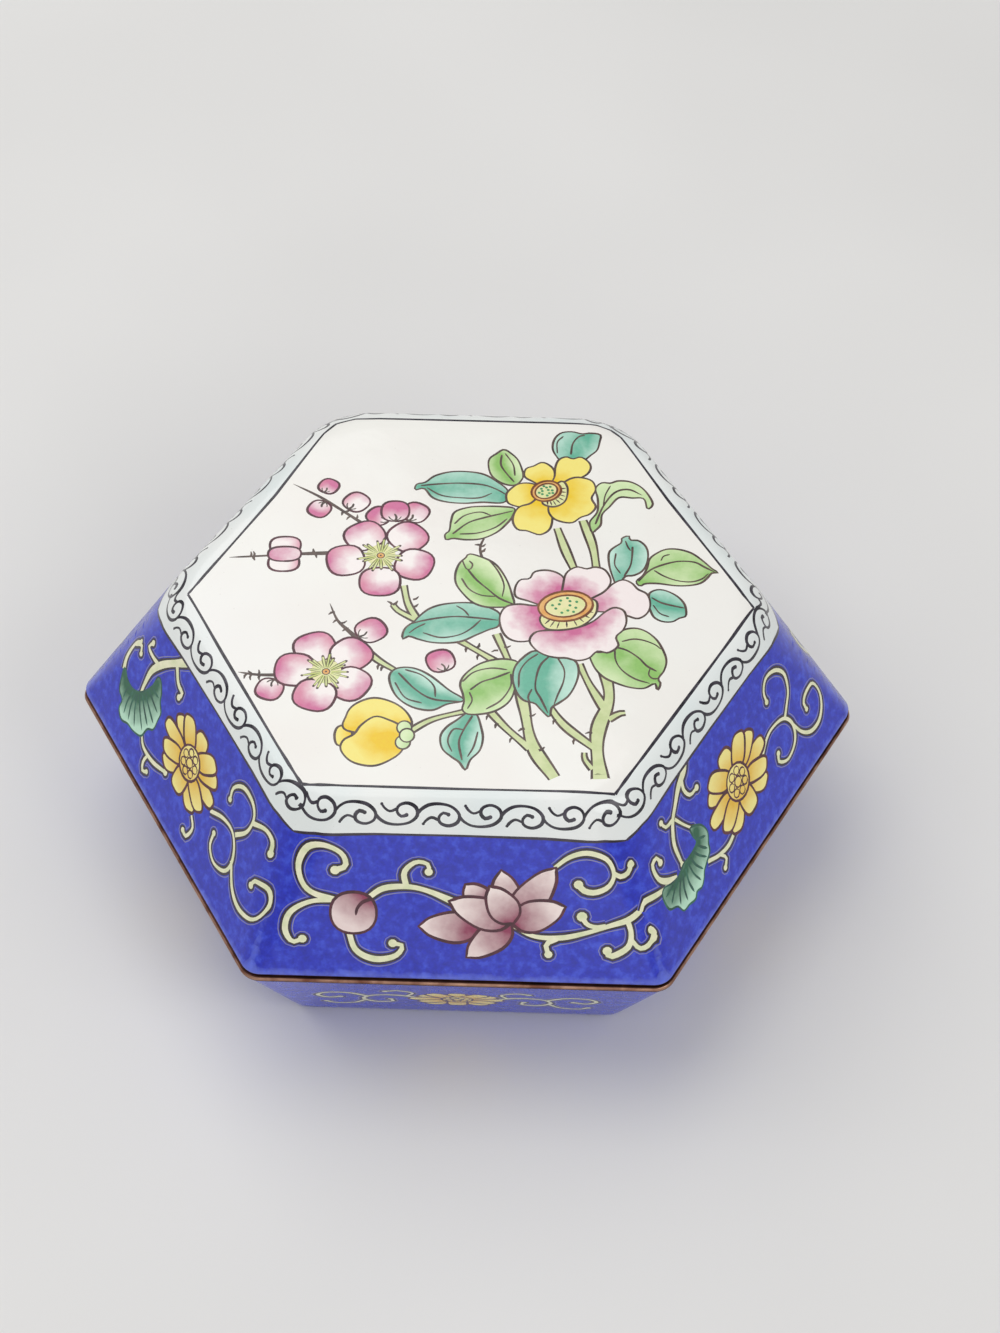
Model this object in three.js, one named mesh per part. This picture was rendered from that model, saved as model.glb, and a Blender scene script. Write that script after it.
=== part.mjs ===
// A six-sided enamelled copper trinket box: a tray-like base and a lift-off lid.
// Both shells are raised from sheet copper and enamelled inside and out, so each is one thin hollow
// solid. The lid is a frustum with a soft rounded edge round its flat painted top. The base is a deeper
// frustum turned the other way, with a flat bottom, a rolled copper bead at its mouth and an upright
// lip that keeps the lid in place. Sides face -Y, +Y and the four diagonals, corners point to -X and +X.
// Millimetres, +Z up, origin at the middle of the flat underside.
import * as THREE from "three";

// Plan
const acrossCorners = 114; // lid outline at its rim, as if the corners were sharp
const rimCornerRadius = 3; // soft corners of both shells at their rims
const footAcrossCorners = 92.4; // outline of the flat bottom's edge, as if the corners were sharp
const footCornerRadius = 3.5;

// Sheet
const lidWall = 1.6; // copper with enamel on both faces
const baseWall = 1.6;
const bottomWall = 1.6;

// Lid
const lidRimBand = 1.0; // upright bare copper edge
const lidRise = 22.9; // from the rim band up to the flat top
const lidSideAngle = 61.7; // degrees above the horizontal
const lidEdgeRadius = 4.4; // soft edge round the top
const lidTopCornerRadius = 14; // corners of the flat top in plan
const lidCrown = 0.3; // the top swells this much towards its middle

// Base
const baseRimBand = 1.0; // upright bare copper edge, which carries the bead
const baseDepth = 21.4; // from the bottom up to the rim band
const baseEdgeRadius = 3; // soft edge round the bottom
const beadReach = 0.35; // how far the rolled bead stands out past the rim
const seatWidth = 2.0; // ledge that the lid's rim rests on
const lipHeight = 3.0;
const lipWall = 1.0;

// Mesh fineness
const cornerSteps = 4;
const lidEdgeSteps = 5;
const baseEdgeSteps = 4;
const beadSteps = 4;

const sides = 6;
const cosHalfSide = Math.cos(Math.PI / sides);
const radians = THREE.MathUtils.degToRad;

// Distance from the axis to a flat side, from the distance across sharp corners
const apothemOf = (across) => (across / 2) * cosHalfSide;

const rimApothem = apothemOf(acrossCorners);
const footApothem = apothemOf(footAcrossCorners);
const rimPlane = baseDepth + baseRimBand; // where the lid rests on the base

// One level of a shell: a six-sided outline with rounded corners, at its height.
const level = (apothem, height, corner) => ({ apothem, height, corner });

// The same level moved inwards and to another height, with walls of even thickness round the corners.
function inside(outer, inset, height) {
  const corner = Math.max(outer.corner - inset, outer.corner * 0.2);
  return level(outer.apothem - inset, height, corner);
}

// The points of a rounded six-sided outline, anticlockwise, starting at the +X corner.
function outline({ apothem, height, corner }) {
  const points = [];
  const cornerCentre = (apothem - corner) / cosHalfSide;
  for (let i = 0; i < sides; i++) {
    const middle = (i * 2 * Math.PI) / sides;
    for (let step = 0; step <= cornerSteps; step++) {
      const angle = middle + ((step / cornerSteps - 0.5) * 2 * Math.PI) / sides;
      points.push(
        new THREE.Vector3(
          cornerCentre * Math.cos(middle) + corner * Math.cos(angle),
          cornerCentre * Math.sin(middle) + corner * Math.sin(angle),
          height,
        ),
      );
    }
  }
  return points;
}

// A closed shell from its levels, listed from the middle of its outer face, round the rim, and back to
// the middle of its inner face. The first and last heights close it on the axis.
function shell(outerMiddle, levels, innerMiddle) {
  const rings = levels.map(outline);
  const count = rings[0].length;
  const positions = [0, 0, outerMiddle];
  for (const ring of rings) {
    for (const point of ring) positions.push(point.x, point.y, point.z);
  }
  positions.push(0, 0, innerMiddle);
  const at = (ring, i) => 1 + ring * count + (i % count);
  const last = 1 + rings.length * count;
  const faces = [];
  for (let i = 0; i < count; i++) {
    faces.push(0, at(0, i), at(0, i + 1));
    for (let ring = 0; ring + 1 < rings.length; ring++) {
      faces.push(at(ring, i), at(ring + 1, i), at(ring + 1, i + 1));
      faces.push(at(ring, i), at(ring + 1, i + 1), at(ring, i + 1));
    }
    faces.push(at(rings.length - 1, i), last, at(rings.length - 1, i + 1));
  }
  const geometry = new THREE.BufferGeometry();
  geometry.setAttribute("position", new THREE.Float32BufferAttribute(positions, 3));
  geometry.setIndex(faces);
  return geometry;
}

// Turns the faces of a shell round, for one whose levels are listed from below.
function turned(geometry) {
  const index = geometry.getIndex();
  for (let i = 0; i < index.count; i += 3) {
    const second = index.getX(i + 1);
    index.setX(i + 1, index.getX(i + 2));
    index.setX(i + 2, second);
  }
  return geometry;
}

// The levels of the rounded edge between a flat face and a side that slopes away from it. The flat face
// lies at flatHeight, the sharp edge would be at edgeApothem, and drop is -1 where the side falls away
// below the flat face and 1 where it rises.
function softEdge({ edgeApothem, flatHeight, angle, radius, steps, drop, corners }) {
  const flatApothem = edgeApothem - radius * Math.tan(angle / 2);
  const levels = [];
  for (let step = 0; step <= steps; step++) {
    const turn = (angle * step) / steps;
    levels.push(
      level(
        flatApothem + radius * Math.sin(turn),
        flatHeight + drop * radius * (1 - Math.cos(turn)),
        THREE.MathUtils.lerp(corners[0], corners[1], step / steps),
      ),
    );
  }
  return levels;
}

// The lid, with its rim's lower edge at height 0
function lidGeometry() {
  const angle = radians(lidSideAngle);
  const top = lidRimBand + lidRise;
  const edgeApothem = rimApothem - lidRise / Math.tan(angle);
  const shoulderCorner = THREE.MathUtils.lerp(lidTopCornerRadius, rimCornerRadius, 0.25);
  const outerEdge = softEdge({
    edgeApothem,
    flatHeight: top,
    angle,
    radius: lidEdgeRadius,
    steps: lidEdgeSteps,
    drop: -1,
    corners: [lidTopCornerRadius, shoulderCorner],
  });
  const innerEdge = softEdge({
    edgeApothem: edgeApothem - lidWall * Math.tan(angle / 2),
    flatHeight: top - lidWall,
    angle,
    radius: lidEdgeRadius - lidWall,
    steps: lidEdgeSteps,
    drop: -1,
    corners: [lidTopCornerRadius - lidWall, shoulderCorner - lidWall],
  });
  const crownRing = (edge) =>
    level(edge.apothem / 2, edge.height + lidCrown / 2, edge.corner / 2);
  const rim = level(rimApothem, 0, rimCornerRadius);
  const bandTop = level(rimApothem, lidRimBand, rimCornerRadius);
  const innerBandTop = inside(bandTop, lidWall, lidRimBand - lidWall / Math.tan(angle) + lidWall * 0.5);
  const levels = [
    crownRing(outerEdge[0]),
    ...outerEdge,
    bandTop,
    rim,
    inside(rim, lidWall, 0),
    innerBandTop,
    ...innerEdge.reverse(),
    crownRing(innerEdge[innerEdge.length - 1]),
  ];
  return shell(top + lidCrown, levels, top - lidWall + lidCrown);
}

// The base, standing on height 0
function baseGeometry() {
  const angle = Math.atan2(baseDepth, rimApothem - footApothem);
  const outerEdge = softEdge({
    edgeApothem: footApothem,
    flatHeight: 0,
    angle,
    radius: baseEdgeRadius,
    steps: baseEdgeSteps,
    drop: 1,
    corners: [footCornerRadius, footCornerRadius],
  });
  const innerFootApothem = footApothem + bottomWall / Math.tan(angle) - baseWall / Math.sin(angle);
  const innerEdge = softEdge({
    edgeApothem: innerFootApothem,
    flatHeight: bottomWall,
    angle,
    radius: baseEdgeRadius - baseWall,
    steps: baseEdgeSteps,
    drop: 1,
    corners: [footCornerRadius - baseWall, footCornerRadius - baseWall],
  });
  const bead = [];
  for (let step = 0; step <= beadSteps; step++) {
    const turn = (Math.PI * step) / beadSteps;
    bead.push(
      level(
        rimApothem + beadReach * Math.sin(turn),
        baseDepth + (baseRimBand * (1 - Math.cos(turn))) / 2,
        rimCornerRadius + beadReach * Math.sin(turn),
      ),
    );
  }
  const rim = level(rimApothem, rimPlane, rimCornerRadius);
  const seatInner = inside(rim, seatWidth, rimPlane);
  const lipBend = inside(rim, seatWidth, rimPlane + lidRimBand);
  const lipLean = (lipHeight - lidRimBand) / Math.tan(radians(lidSideAngle));
  const lipTop = inside(rim, seatWidth + lipLean, rimPlane + lipHeight);
  const lipMouth = inside(rim, seatWidth + lipLean + lipWall, rimPlane + lipHeight);
  const lipInnerBend = inside(rim, seatWidth + lipWall, rimPlane + lidRimBand);
  // The lip's inner face runs down until it meets the sloping inner wall
  const wallInset = baseWall / Math.sin(angle);
  const meeting = baseDepth - (seatWidth + lipWall - wallInset) * Math.tan(angle);
  const lipFoot = inside(rim, seatWidth + lipWall, meeting);
  const levels = [
    ...outerEdge,
    ...bead,
    seatInner,
    lipBend,
    lipTop,
    lipMouth,
    lipInnerBend,
    lipFoot,
    ...innerEdge.reverse(),
  ];
  return turned(shell(0, levels, bottomWall));
}

function piece(name, geometry, colour) {
  const material = new THREE.MeshStandardMaterial({ color: colour, roughness: 0.18, metalness: 0 });
  const mesh = new THREE.Mesh(geometry, material);
  mesh.name = name;
  return mesh;
}

const box = new THREE.Group();

const base = piece("base", baseGeometry(), 0x2f3cc0);
box.add(base);

const lid = piece("lid", lidGeometry(), 0xf1ece4);
lid.position.z = rimPlane;
box.add(lid);

export default box;
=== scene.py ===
import math
import random

import bpy
import numpy as np
from bpy.props import FloatProperty, FloatVectorProperty, PointerProperty
from mathutils import Matrix, Vector
from mathutils.geometry import delaunay_2d_cdt


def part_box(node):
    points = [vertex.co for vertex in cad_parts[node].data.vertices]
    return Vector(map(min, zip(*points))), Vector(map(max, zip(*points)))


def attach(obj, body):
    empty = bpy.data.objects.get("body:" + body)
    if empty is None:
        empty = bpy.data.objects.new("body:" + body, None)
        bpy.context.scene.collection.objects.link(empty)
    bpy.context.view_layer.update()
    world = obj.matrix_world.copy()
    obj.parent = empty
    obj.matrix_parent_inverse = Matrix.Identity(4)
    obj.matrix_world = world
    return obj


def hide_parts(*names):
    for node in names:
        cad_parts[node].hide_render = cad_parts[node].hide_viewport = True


bl_info = {
    "name": "Painted Enamel Trinket Box",
    "version": (1, 0, 0),
    "blender": (4, 5, 0),
    "location": "View3D > Sidebar > Trinket Box",
    "description": "Builds a six-sided painted enamel box with a lift-off lid, and its studio",
    "category": "Object",
}

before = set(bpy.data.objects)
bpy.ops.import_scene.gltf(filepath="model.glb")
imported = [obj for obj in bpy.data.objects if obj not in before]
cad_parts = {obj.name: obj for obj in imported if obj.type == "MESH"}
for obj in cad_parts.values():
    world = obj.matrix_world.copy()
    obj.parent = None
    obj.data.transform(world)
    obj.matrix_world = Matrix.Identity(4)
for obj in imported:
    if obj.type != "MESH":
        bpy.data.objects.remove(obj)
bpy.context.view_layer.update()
lid_low, lid_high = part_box("lid")
base_low, base_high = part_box("base")

MM = 0.001
SIDES = 6
SIXTH = 2 * math.pi / SIDES
HALF_TAN = math.tan(SIXTH / 2)
FRONT, FRONT_RIGHT, BACK_RIGHT, BACK, BACK_LEFT, FRONT_LEFT = 4, 5, 0, 1, 2, 3


def srgb(code):
    """The linear colour of a six-digit colour code."""
    parts = [int(code[i : i + 2], 16) / 255 for i in (0, 2, 4)]
    return tuple(c / 12.92 if c <= 0.04045 else ((c + 0.055) / 1.055) ** 2.4 for c in parts)


# Properties


def length(name, description, default):
    return FloatProperty(
        name=name, description=description, default=default, min=0.0, precision=5, unit="LENGTH"
    )


def colour(name, description, code):
    return FloatVectorProperty(
        name=name, description=description, default=srgb(code), subtype="COLOR", min=0.0, max=1.0
    )


class BoxSizes(bpy.types.PropertyGroup):
    """Sizes of the two shells. Those not listed come from the solids in the frame."""

    lid_band: length("Lid Band", "Height of the lid's upright copper edge", 0.001)
    lid_crown: length("Lid Crown", "Swelling of the lid's flat top", 0.0003)
    lid_edge: length("Lid Edge Radius", "Roundness of the edge round the top", 0.0044)
    lid_corner: length("Top Corner Radius", "Corners of the flat top in plan", 0.014)
    rim_corner: length("Rim Corner Radius", "Corners of both rims in plan", 0.003)
    lid_wall: length("Lid Wall", "Thickness of the lid's enamelled copper", 0.0016)
    lid_angle: FloatProperty(
        name="Lid Side Angle",
        description="Slope of the lid's sides above the horizontal",
        default=math.radians(61.7),
        subtype="ANGLE",
    )
    foot_apothem: length("Foot Apothem", "From the axis to a sharp side of the bottom", 0.04001)
    foot_corner: length("Foot Corner Radius", "Corners of the bottom in plan", 0.0035)
    foot_edge: length("Foot Edge Radius", "Roundness of the edge round the bottom", 0.003)
    base_band: length("Base Band", "Height of the base's copper rim", 0.001)
    base_wall: length("Base Wall", "Thickness of the base's enamelled copper", 0.0016)
    seat: length("Seat", "Ledge that the lid rests on", 0.002)
    lip_height: length("Lip Height", "Height of the lip inside the lid", 0.003)
    lip_wall: length("Lip Wall", "Thickness of the lip", 0.001)
    line: length("Brush Line", "Width of the fine painted lines", 0.00032)


class EnamelColours(bpy.types.PropertyGroup):
    """Colours of the enamels and the metal."""

    white: colour("Picture White", "Warm white ground of the picture", "F7F6F0")
    border: colour("Border White", "Cooler white of the scroll border", "F2F3F0")
    blue: colour("Blue", "Ground of the sides", "2733BE")
    brush: colour("Brush Line", "Brown-black of the fine lines", "453733")
    pink: colour("Pink", "Deep rose enamel", "D2709C")
    pale_pink: colour("Pale Pink", "Thin rose enamel", "FBF0EE")
    maroon: colour("Maroon", "Deep rose of the lotus and the peach", "8F3355")
    yellow: colour("Yellow", "Deep yellow enamel", "F4CB1C")
    pale_yellow: colour("Pale Yellow", "Thin yellow enamel", "FBEB82")
    gold: colour("Gold", "Deep yellow of the chrysanthemums", "ECBB38")
    green: colour("Green", "Leaf green enamel", "93C56C")
    pale_green: colour("Pale Green", "Thin leaf green enamel", "DFF1C0")
    teal: colour("Teal", "Blue-green enamel", "68B69B")
    pale_teal: colour("Pale Teal", "Thin blue-green enamel", "CDEEDF")
    stem: colour("Stem", "Pale yellow-green of the stems", "D9E2AE")
    tendril: colour("Tendril", "Cream of the tendrils", "F3F0CF")
    halo: colour("Halo", "Thin grey-violet line round the tendrils", "8F8BA8")
    copper: colour("Copper", "Bare copper of the rims", "8E5F50")
    lining: colour("Lining", "Plain enamel inside and below", "8CCFD0")


# Materials


class Nodes:
    """A material's node tree, with short ways to add what the enamels need."""

    def __init__(self, name):
        self.material = bpy.data.materials.new(name)
        self.material.use_nodes = True
        self.tree = self.material.node_tree
        self.shader = self.tree.nodes["Principled BSDF"]
        self.place = self.add("ShaderNodeTexCoord").outputs["Object"]

    def add(self, kind, **settings):
        node = self.tree.nodes.new(kind)
        for key, value in settings.items():
            setattr(node, key, value)
        return node

    def join(self, output, socket):
        self.tree.links.new(output, socket)

    def noise(self, scale, detail=3.0, distortion=0.0):
        """Cloudy values about 0.5, from the place on the object; scale is in clouds per metre."""
        node = self.add("ShaderNodeTexNoise")
        node.inputs["Scale"].default_value = scale
        node.inputs["Detail"].default_value = detail
        node.inputs["Distortion"].default_value = distortion
        self.join(self.place, node.inputs["Vector"])
        return node.outputs["Fac"]

    def ramp(self, value, stops):
        """Values spread over stops of (position, colour or grey)."""
        node = self.add("ShaderNodeValToRGB")
        elements = node.color_ramp.elements
        while len(elements) < len(stops):
            elements.new(0.5)
        for element, (position, shade) in zip(elements, stops):
            element.position = position
            element.color = (*shade, 1.0) if isinstance(shade, tuple) else (shade, shade, shade, 1.0)
        self.join(value, node.inputs["Fac"])
        return node.outputs["Color"]

    def blend(self, factor, first, second, mode="MIX"):
        """Two colours mixed by a factor; each is an output or a colour."""
        node = self.add("ShaderNodeMix", data_type="RGBA", blend_type=mode)
        for value, socket in ((factor, node.inputs[0]), (first, node.inputs[6]), (second, node.inputs[7])):
            if isinstance(value, bpy.types.NodeSocket):
                self.join(value, socket)
            else:
                socket.default_value = (*value, 1.0) if isinstance(value, tuple) else value
        return node.outputs[2]

    def sum(self, first, second, operation="ADD"):
        node = self.add("ShaderNodeMath", operation=operation)
        for value, socket in ((first, node.inputs[0]), (second, node.inputs[1])):
            if isinstance(value, bpy.types.NodeSocket):
                self.join(value, socket)
            else:
                socket.default_value = value
        return node.outputs[0]

    def grain(self):
        """Across, along and chance values that each painted shape carries."""
        attribute = self.add("ShaderNodeAttribute", attribute_name="grain")
        split = self.add("ShaderNodeSeparateXYZ")
        self.join(attribute.outputs["Vector"], split.inputs[0])
        return split.outputs

    def wear_and_highlight(self):
        """1 on the ridges and at the rim, 0 away from them: how far the blue is painted paler there, for worn enamel
        and as a painted highlight.
        """
        return self.add("ShaderNodeAttribute", attribute_name="wear_and_highlight").outputs["Fac"]

    def gloss(self, low, high, scale=260.0):
        """Uneven shine between two roughnesses."""
        self.join(self.ramp(self.noise(scale), [(0.3, low), (0.75, high)]), self.shader.inputs["Roughness"])

    def bump(self, height, strength, distance):
        node = self.add("ShaderNodeBump")
        node.inputs["Strength"].default_value = strength
        node.inputs["Distance"].default_value = distance
        self.join(height, node.inputs["Height"])
        self.join(node.outputs["Normal"], self.shader.inputs["Normal"])

    def fired(self, rough=(0.10, 0.2)):
        """The surface of fired enamel: glossy, with slow waves and a faint orange peel."""
        self.gloss(*rough)
        waves = self.sum(self.noise(90.0, 1.0), self.sum(self.noise(900.0, 2.0), 0.12, "MULTIPLY"))
        self.bump(waves, 0.16, 0.0006)

    def finish(self, shade):
        self.join(shade, self.shader.inputs["Base Color"])
        return self.material


def mixed(first, second, share):
    return tuple(a + (b - a) * share for a, b in zip(first, second))


def white_enamel(name, ground, tint, cool):
    """Opaque white with faint clouds of a tint, a few pinholes and specks."""
    nodes = Nodes(name)
    clouds = nodes.ramp(nodes.noise(70.0, 2.0), [(0.35, mixed(ground, tint, 0.1)),
                                                 (0.7, mixed(ground, tint, 0.75))])
    patches = nodes.blend(nodes.ramp(nodes.noise(28.0, 2.0), [(0.45, 0.0), (0.75, 0.8)]), clouds, cool)
    specks = nodes.ramp(nodes.noise(1900.0, 1.0), [(0.755, 0.0), (0.80, 0.35)])
    nodes.fired((0.08, 0.16))
    return nodes.finish(nodes.blend(specks, patches, mixed(ground, (0.3, 0.25, 0.22), 0.5)))


def blue_enamel(colours):
    """Cobalt blue laid on by brush: clouded and grainy, and painted paler at the ridges and the rim, partly as worn,
    thin enamel and partly as a painted highlight.
    """
    nodes = Nodes("cobalt_enamel")
    deep = tuple(colours.blue)
    light = mixed(deep, srgb("4C68F2"), 0.4)
    dark = mixed(deep, srgb("1A1A8C"), 0.35)
    clouds = nodes.ramp(nodes.noise(800.0, 6.0), [(0.34, dark), (0.5, deep), (0.68, light)])
    grains = nodes.ramp(nodes.noise(2600.0, 2.0), [(0.3, 0.38), (0.7, 0.62)])
    mottled = nodes.blend(0.5, clouds, grains, "OVERLAY")
    # The pale blue 7F92F0 on the ridges and the rim stands for worn enamel and also for a painted highlight.
    ragged_wear_and_highlight = nodes.sum(nodes.wear_and_highlight(), nodes.sum(nodes.noise(700.0, 4.0), 0.62, "SUBTRACT"))
    paler = nodes.ramp(ragged_wear_and_highlight, [(0.4, 0.0), (1.0, 0.45)])
    nodes.fired((0.12, 0.22))
    return nodes.finish(nodes.blend(paler, mottled, srgb("7F92F0")))


def petal_enamel(name, inner, outer, start=0.2, end=0.95, accent=None, streak=0.22):
    """Shaded along a petal or leaf from its foot to its tip, with soft brush streaks."""
    nodes = Nodes(name)
    across, along, chance = nodes.grain()
    uneven = nodes.sum(nodes.sum(nodes.noise(520.0, 3.0), 0.5, "SUBTRACT"), streak * 2, "MULTIPLY")
    shifted = nodes.sum(nodes.sum(along, uneven), nodes.sum(chance, 0.14, "MULTIPLY"))
    shade = nodes.ramp(shifted, [(start, tuple(inner)), (end, tuple(outer))])
    if accent is not None:
        side = nodes.sum(nodes.sum(across, uneven), nodes.sum(chance, 0.3, "MULTIPLY"))
        shade = nodes.blend(nodes.ramp(side, [(0.25, 0.0), (1.0, 0.8)]), shade, tuple(accent))
    grains = nodes.ramp(nodes.noise(2400.0, 1.0), [(0.3, 0.46), (0.75, 0.55)])
    nodes.fired((0.1, 0.2))
    return nodes.finish(nodes.blend(0.5, shade, grains, "OVERLAY"))


def line_enamel(name, shade, paler):
    """Brush lines, darker and paler along their run as the brush empties."""
    nodes = Nodes(name)
    run = nodes.ramp(nodes.noise(700.0, 3.0), [(0.35, tuple(shade)), (0.72, tuple(paler))])
    nodes.fired((0.14, 0.24))
    return nodes.finish(run)


def bare_copper(name, bright, dull, rough):
    """Copper browned by firing and handling, brighter where it is rubbed."""
    nodes = Nodes(name)
    rubbed = nodes.ramp(nodes.noise(300.0, 5.0, 0.5), [(0.35, tuple(dull)), (0.68, tuple(bright))])
    nodes.shader.inputs["Metallic"].default_value = 1.0
    nodes.gloss(rough, rough + 0.22, 500.0)
    nodes.bump(nodes.noise(1400.0, 3.0), 0.25, 0.0002)
    return nodes.finish(rubbed)


def lining_enamel(colours):
    """Plain pale enamel, slightly pooled and freckled."""
    nodes = Nodes("lining_enamel")
    ground = tuple(colours.lining)
    pooled = nodes.ramp(
        nodes.noise(110.0, 4.0, 0.4), [(0.3, mixed(ground, (1, 1, 1), 0.25)),
                                       (0.75, mixed(ground, (0, 0.2, 0.3), 0.2))]
    )
    freckles = nodes.ramp(nodes.noise(1100.0, 2.0), [(0.72, 0.0), (0.8, 0.5)])
    nodes.fired((0.12, 0.22))
    return nodes.finish(nodes.blend(freckles, pooled, (0.05, 0.12, 0.14)))


def all_paints(colours):
    """Every enamel and metal by its name, in the order of the material slots."""
    brush = tuple(colours.brush)
    copper = tuple(colours.copper)
    paints = [
        blue_enamel(colours),
        white_enamel("picture_white", tuple(colours.white), srgb("F3EEE8"), srgb("F7F6F3")),
        white_enamel("border_white", tuple(colours.border), srgb("DCE8E8"), srgb("F0F2F0")),
        line_enamel("brush_line", brush, mixed(brush, srgb("8A7468"), 0.45)),
        line_enamel("scroll_line", srgb("1D1B24"), srgb("4A4550")),
        line_enamel("brown_line", srgb("6A3A20"), srgb("8C5530")),
        line_enamel("olive_line", srgb("5C5A34"), srgb("7C7C4E")),
        line_enamel("black_line", mixed(brush, (0.0, 0.0, 0.02), 0.6), mixed(brush, (0.05, 0.04, 0.1), 0.5)),
        petal_enamel("plum_petal", srgb("FBF3F0"), colours.pink, 0.46, 1.06, srgb("D9789A")),
        petal_enamel("camellia_petal", colours.pink, colours.pale_pink, 0.48, 0.9),
        petal_enamel("yellow_petal", colours.yellow, colours.pale_yellow, 0.45, 1.0),
        petal_enamel("lotus_petal", colours.maroon, srgb("F8E7E2"), 0.16, 0.98),
        petal_enamel("peach", srgb("F0DCD8"), colours.maroon, 0.12, 0.98),
        petal_enamel("gold_petal", colours.gold, srgb("FAEB92"), 0.2, 0.95),
        petal_enamel("green_leaf", colours.pale_green, colours.green, 0.3, 1.05),
        petal_enamel("teal_leaf", colours.pale_teal, colours.teal, 0.3, 1.08),
        petal_enamel("lotus_leaf", srgb("1F6043"), srgb("BFE9CF"), 0.22, 1.0, streak=0.3),
        line_enamel("leaf_vein", srgb("17463C"), srgb("2C6E58")),
        line_enamel("stem", colours.stem, mixed(tuple(colours.stem), srgb("B7CB86"), 0.6)),
        line_enamel("stamen", srgb("C9D47A"), srgb("E9EBB8")),
        line_enamel("flower_eye", srgb("F0E9B2"), srgb("DCE6A0")),
        line_enamel("orange_ring", srgb("E3A052"), srgb("EFC07C")),
        line_enamel("green_dot", srgb("3C8A58"), srgb("57A06A")),
        line_enamel("tendril", colours.tendril, mixed(tuple(colours.tendril), srgb("C9D89E"), 0.6)),
        line_enamel("halo", colours.halo, mixed(tuple(colours.halo), srgb("5A60B4"), 0.5)),
        line_enamel("maroon_line", srgb("401824"), srgb("602838")),
        # Dark copper: oxidised copper, darkened further as painted shade. Bright copper: a painted highlight for the
        # crest of the base's rolled rim.
        bare_copper("shaded_dark_copper", mixed(copper, (0.03, 0.01, 0.01), 0.75), (0.035, 0.015, 0.012), 0.38),
        bare_copper("copper_highlight", mixed(copper, (1.0, 0.7, 0.5), 0.3), mixed(copper, (0.1, 0.04, 0.02), 0.5), 0.26),
        lining_enamel(colours),
    ]
    return {material.name: material for material in paints}


# Skins: the outer face of a shell, unrolled


def rounded(middle, share, apothem, corner):
    """Plan x and y, and the way outwards, on a hexagon with rounded corners."""
    reach = np.abs(share) * apothem * HALF_TAN
    straight = (apothem - corner) * HALF_TAN
    turn = np.clip((reach - straight) / np.maximum(corner * HALF_TAN, 1e-9), 0, 1) * SIXTH / 2
    out = apothem - corner + corner * np.cos(turn)
    beside = np.sign(share) * (np.minimum(reach, straight) + corner * np.sin(turn))
    x = out * np.cos(middle) - beside * np.sin(middle)
    y = out * np.sin(middle) + beside * np.cos(middle)
    return x, y, middle + np.sign(share) * turn


def inset(corner, wall):
    """The corner radius of an inner face that lies a wall inside an outer one."""
    return max(corner - wall, corner * 0.2)


class Skin:
    """The outer face of one shell, unrolled onto a flat six-sided sheet in millimetres.

    On the sheet, a point's distance from the middle towards its side is its distance q along the
    surface. The stations give, for rising q, the apothem, height, corner radius and tilt there.
    """

    def __init__(self, stations, faces_up):
        self.q, self.apothem, self.height, self.corner, self.tilt = np.array(stations).T
        self.end = self.q[-1]
        self.up = 1 if faces_up else -1

    def sectors(self, flat):
        """The middle direction of each point's side, its q, and its offset along the side."""
        turn = np.arctan2(flat[:, 1], flat[:, 0])
        middle = (np.floor(turn / SIXTH) % SIDES + 0.5) * SIXTH
        q = flat[:, 0] * np.cos(middle) + flat[:, 1] * np.sin(middle)
        along = flat[:, 1] * np.cos(middle) - flat[:, 0] * np.sin(middle)
        return middle, q, along

    def lift(self, flat):
        """Places, normals and nearness to a ridge or the rim, for points of the sheet."""
        middle, q, along = self.sectors(flat)
        apothem = np.interp(q, self.q, self.apothem)
        height = np.interp(q, self.q, self.height)
        corner = np.interp(q, self.q, self.corner)
        tilt = np.interp(q, self.q, self.tilt)
        share = np.clip(along / np.maximum(q * HALF_TAN, 1e-9), -1, 1)
        x, y, facing = rounded(middle, share, apothem, corner)
        places = np.stack([x, y, height], axis=1)
        normals = np.stack(
            [np.cos(facing) * np.sin(tilt), np.sin(facing) * np.sin(tilt), self.up * np.cos(tilt)], axis=1
        )
        from_ridge = apothem * HALF_TAN * (1 - np.abs(share))
        # How much paler the blue is painted near the ridges, most low down, and at the rim: worn enamel and a painted
        # highlight.
        sloped = np.clip(tilt / max(self.tilt.max(), 1e-9), 0, 1) ** 2
        low = np.clip(1.3 - (self.end - q) / 14, 0, 1)
        wear_and_highlight = sloped * np.maximum(low * np.exp(-((from_ridge / 0.8) ** 2)), np.exp(-(self.end - q) / 0.5))
        return places, normals, wear_and_highlight

    def ring(self, q, spacing):
        """Points of the sheet at one q, all round from the +X corner, closer at the ridges."""
        apothem = float(np.interp(q, self.q, self.apothem))
        corner = float(np.interp(q, self.q, self.corner))
        ridge = min(corner / max(apothem, 1e-6), 0.9)
        runs = max(2, round(2 * (1 - ridge) * apothem * HALF_TAN / spacing))
        turns = 5 if corner > 1 else 1
        shares = list(np.linspace(-1, ridge - 1, turns + 1))[:-1] if ridge > 0.01 else []
        shares += list(np.linspace(ridge - 1, 1 - ridge, runs + 1))
        if ridge > 0.01:
            shares += list(np.linspace(1 - ridge, 1, turns + 1))[1:]
        points = []
        for side in range(SIDES):
            middle = (side + 0.5) * SIXTH
            for share in shares[:-1]:
                beside = share * q * HALF_TAN
                points.append(
                    (
                        q * math.cos(middle) - beside * math.sin(middle),
                        q * math.sin(middle) + beside * math.cos(middle),
                    )
                )
        return points


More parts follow.
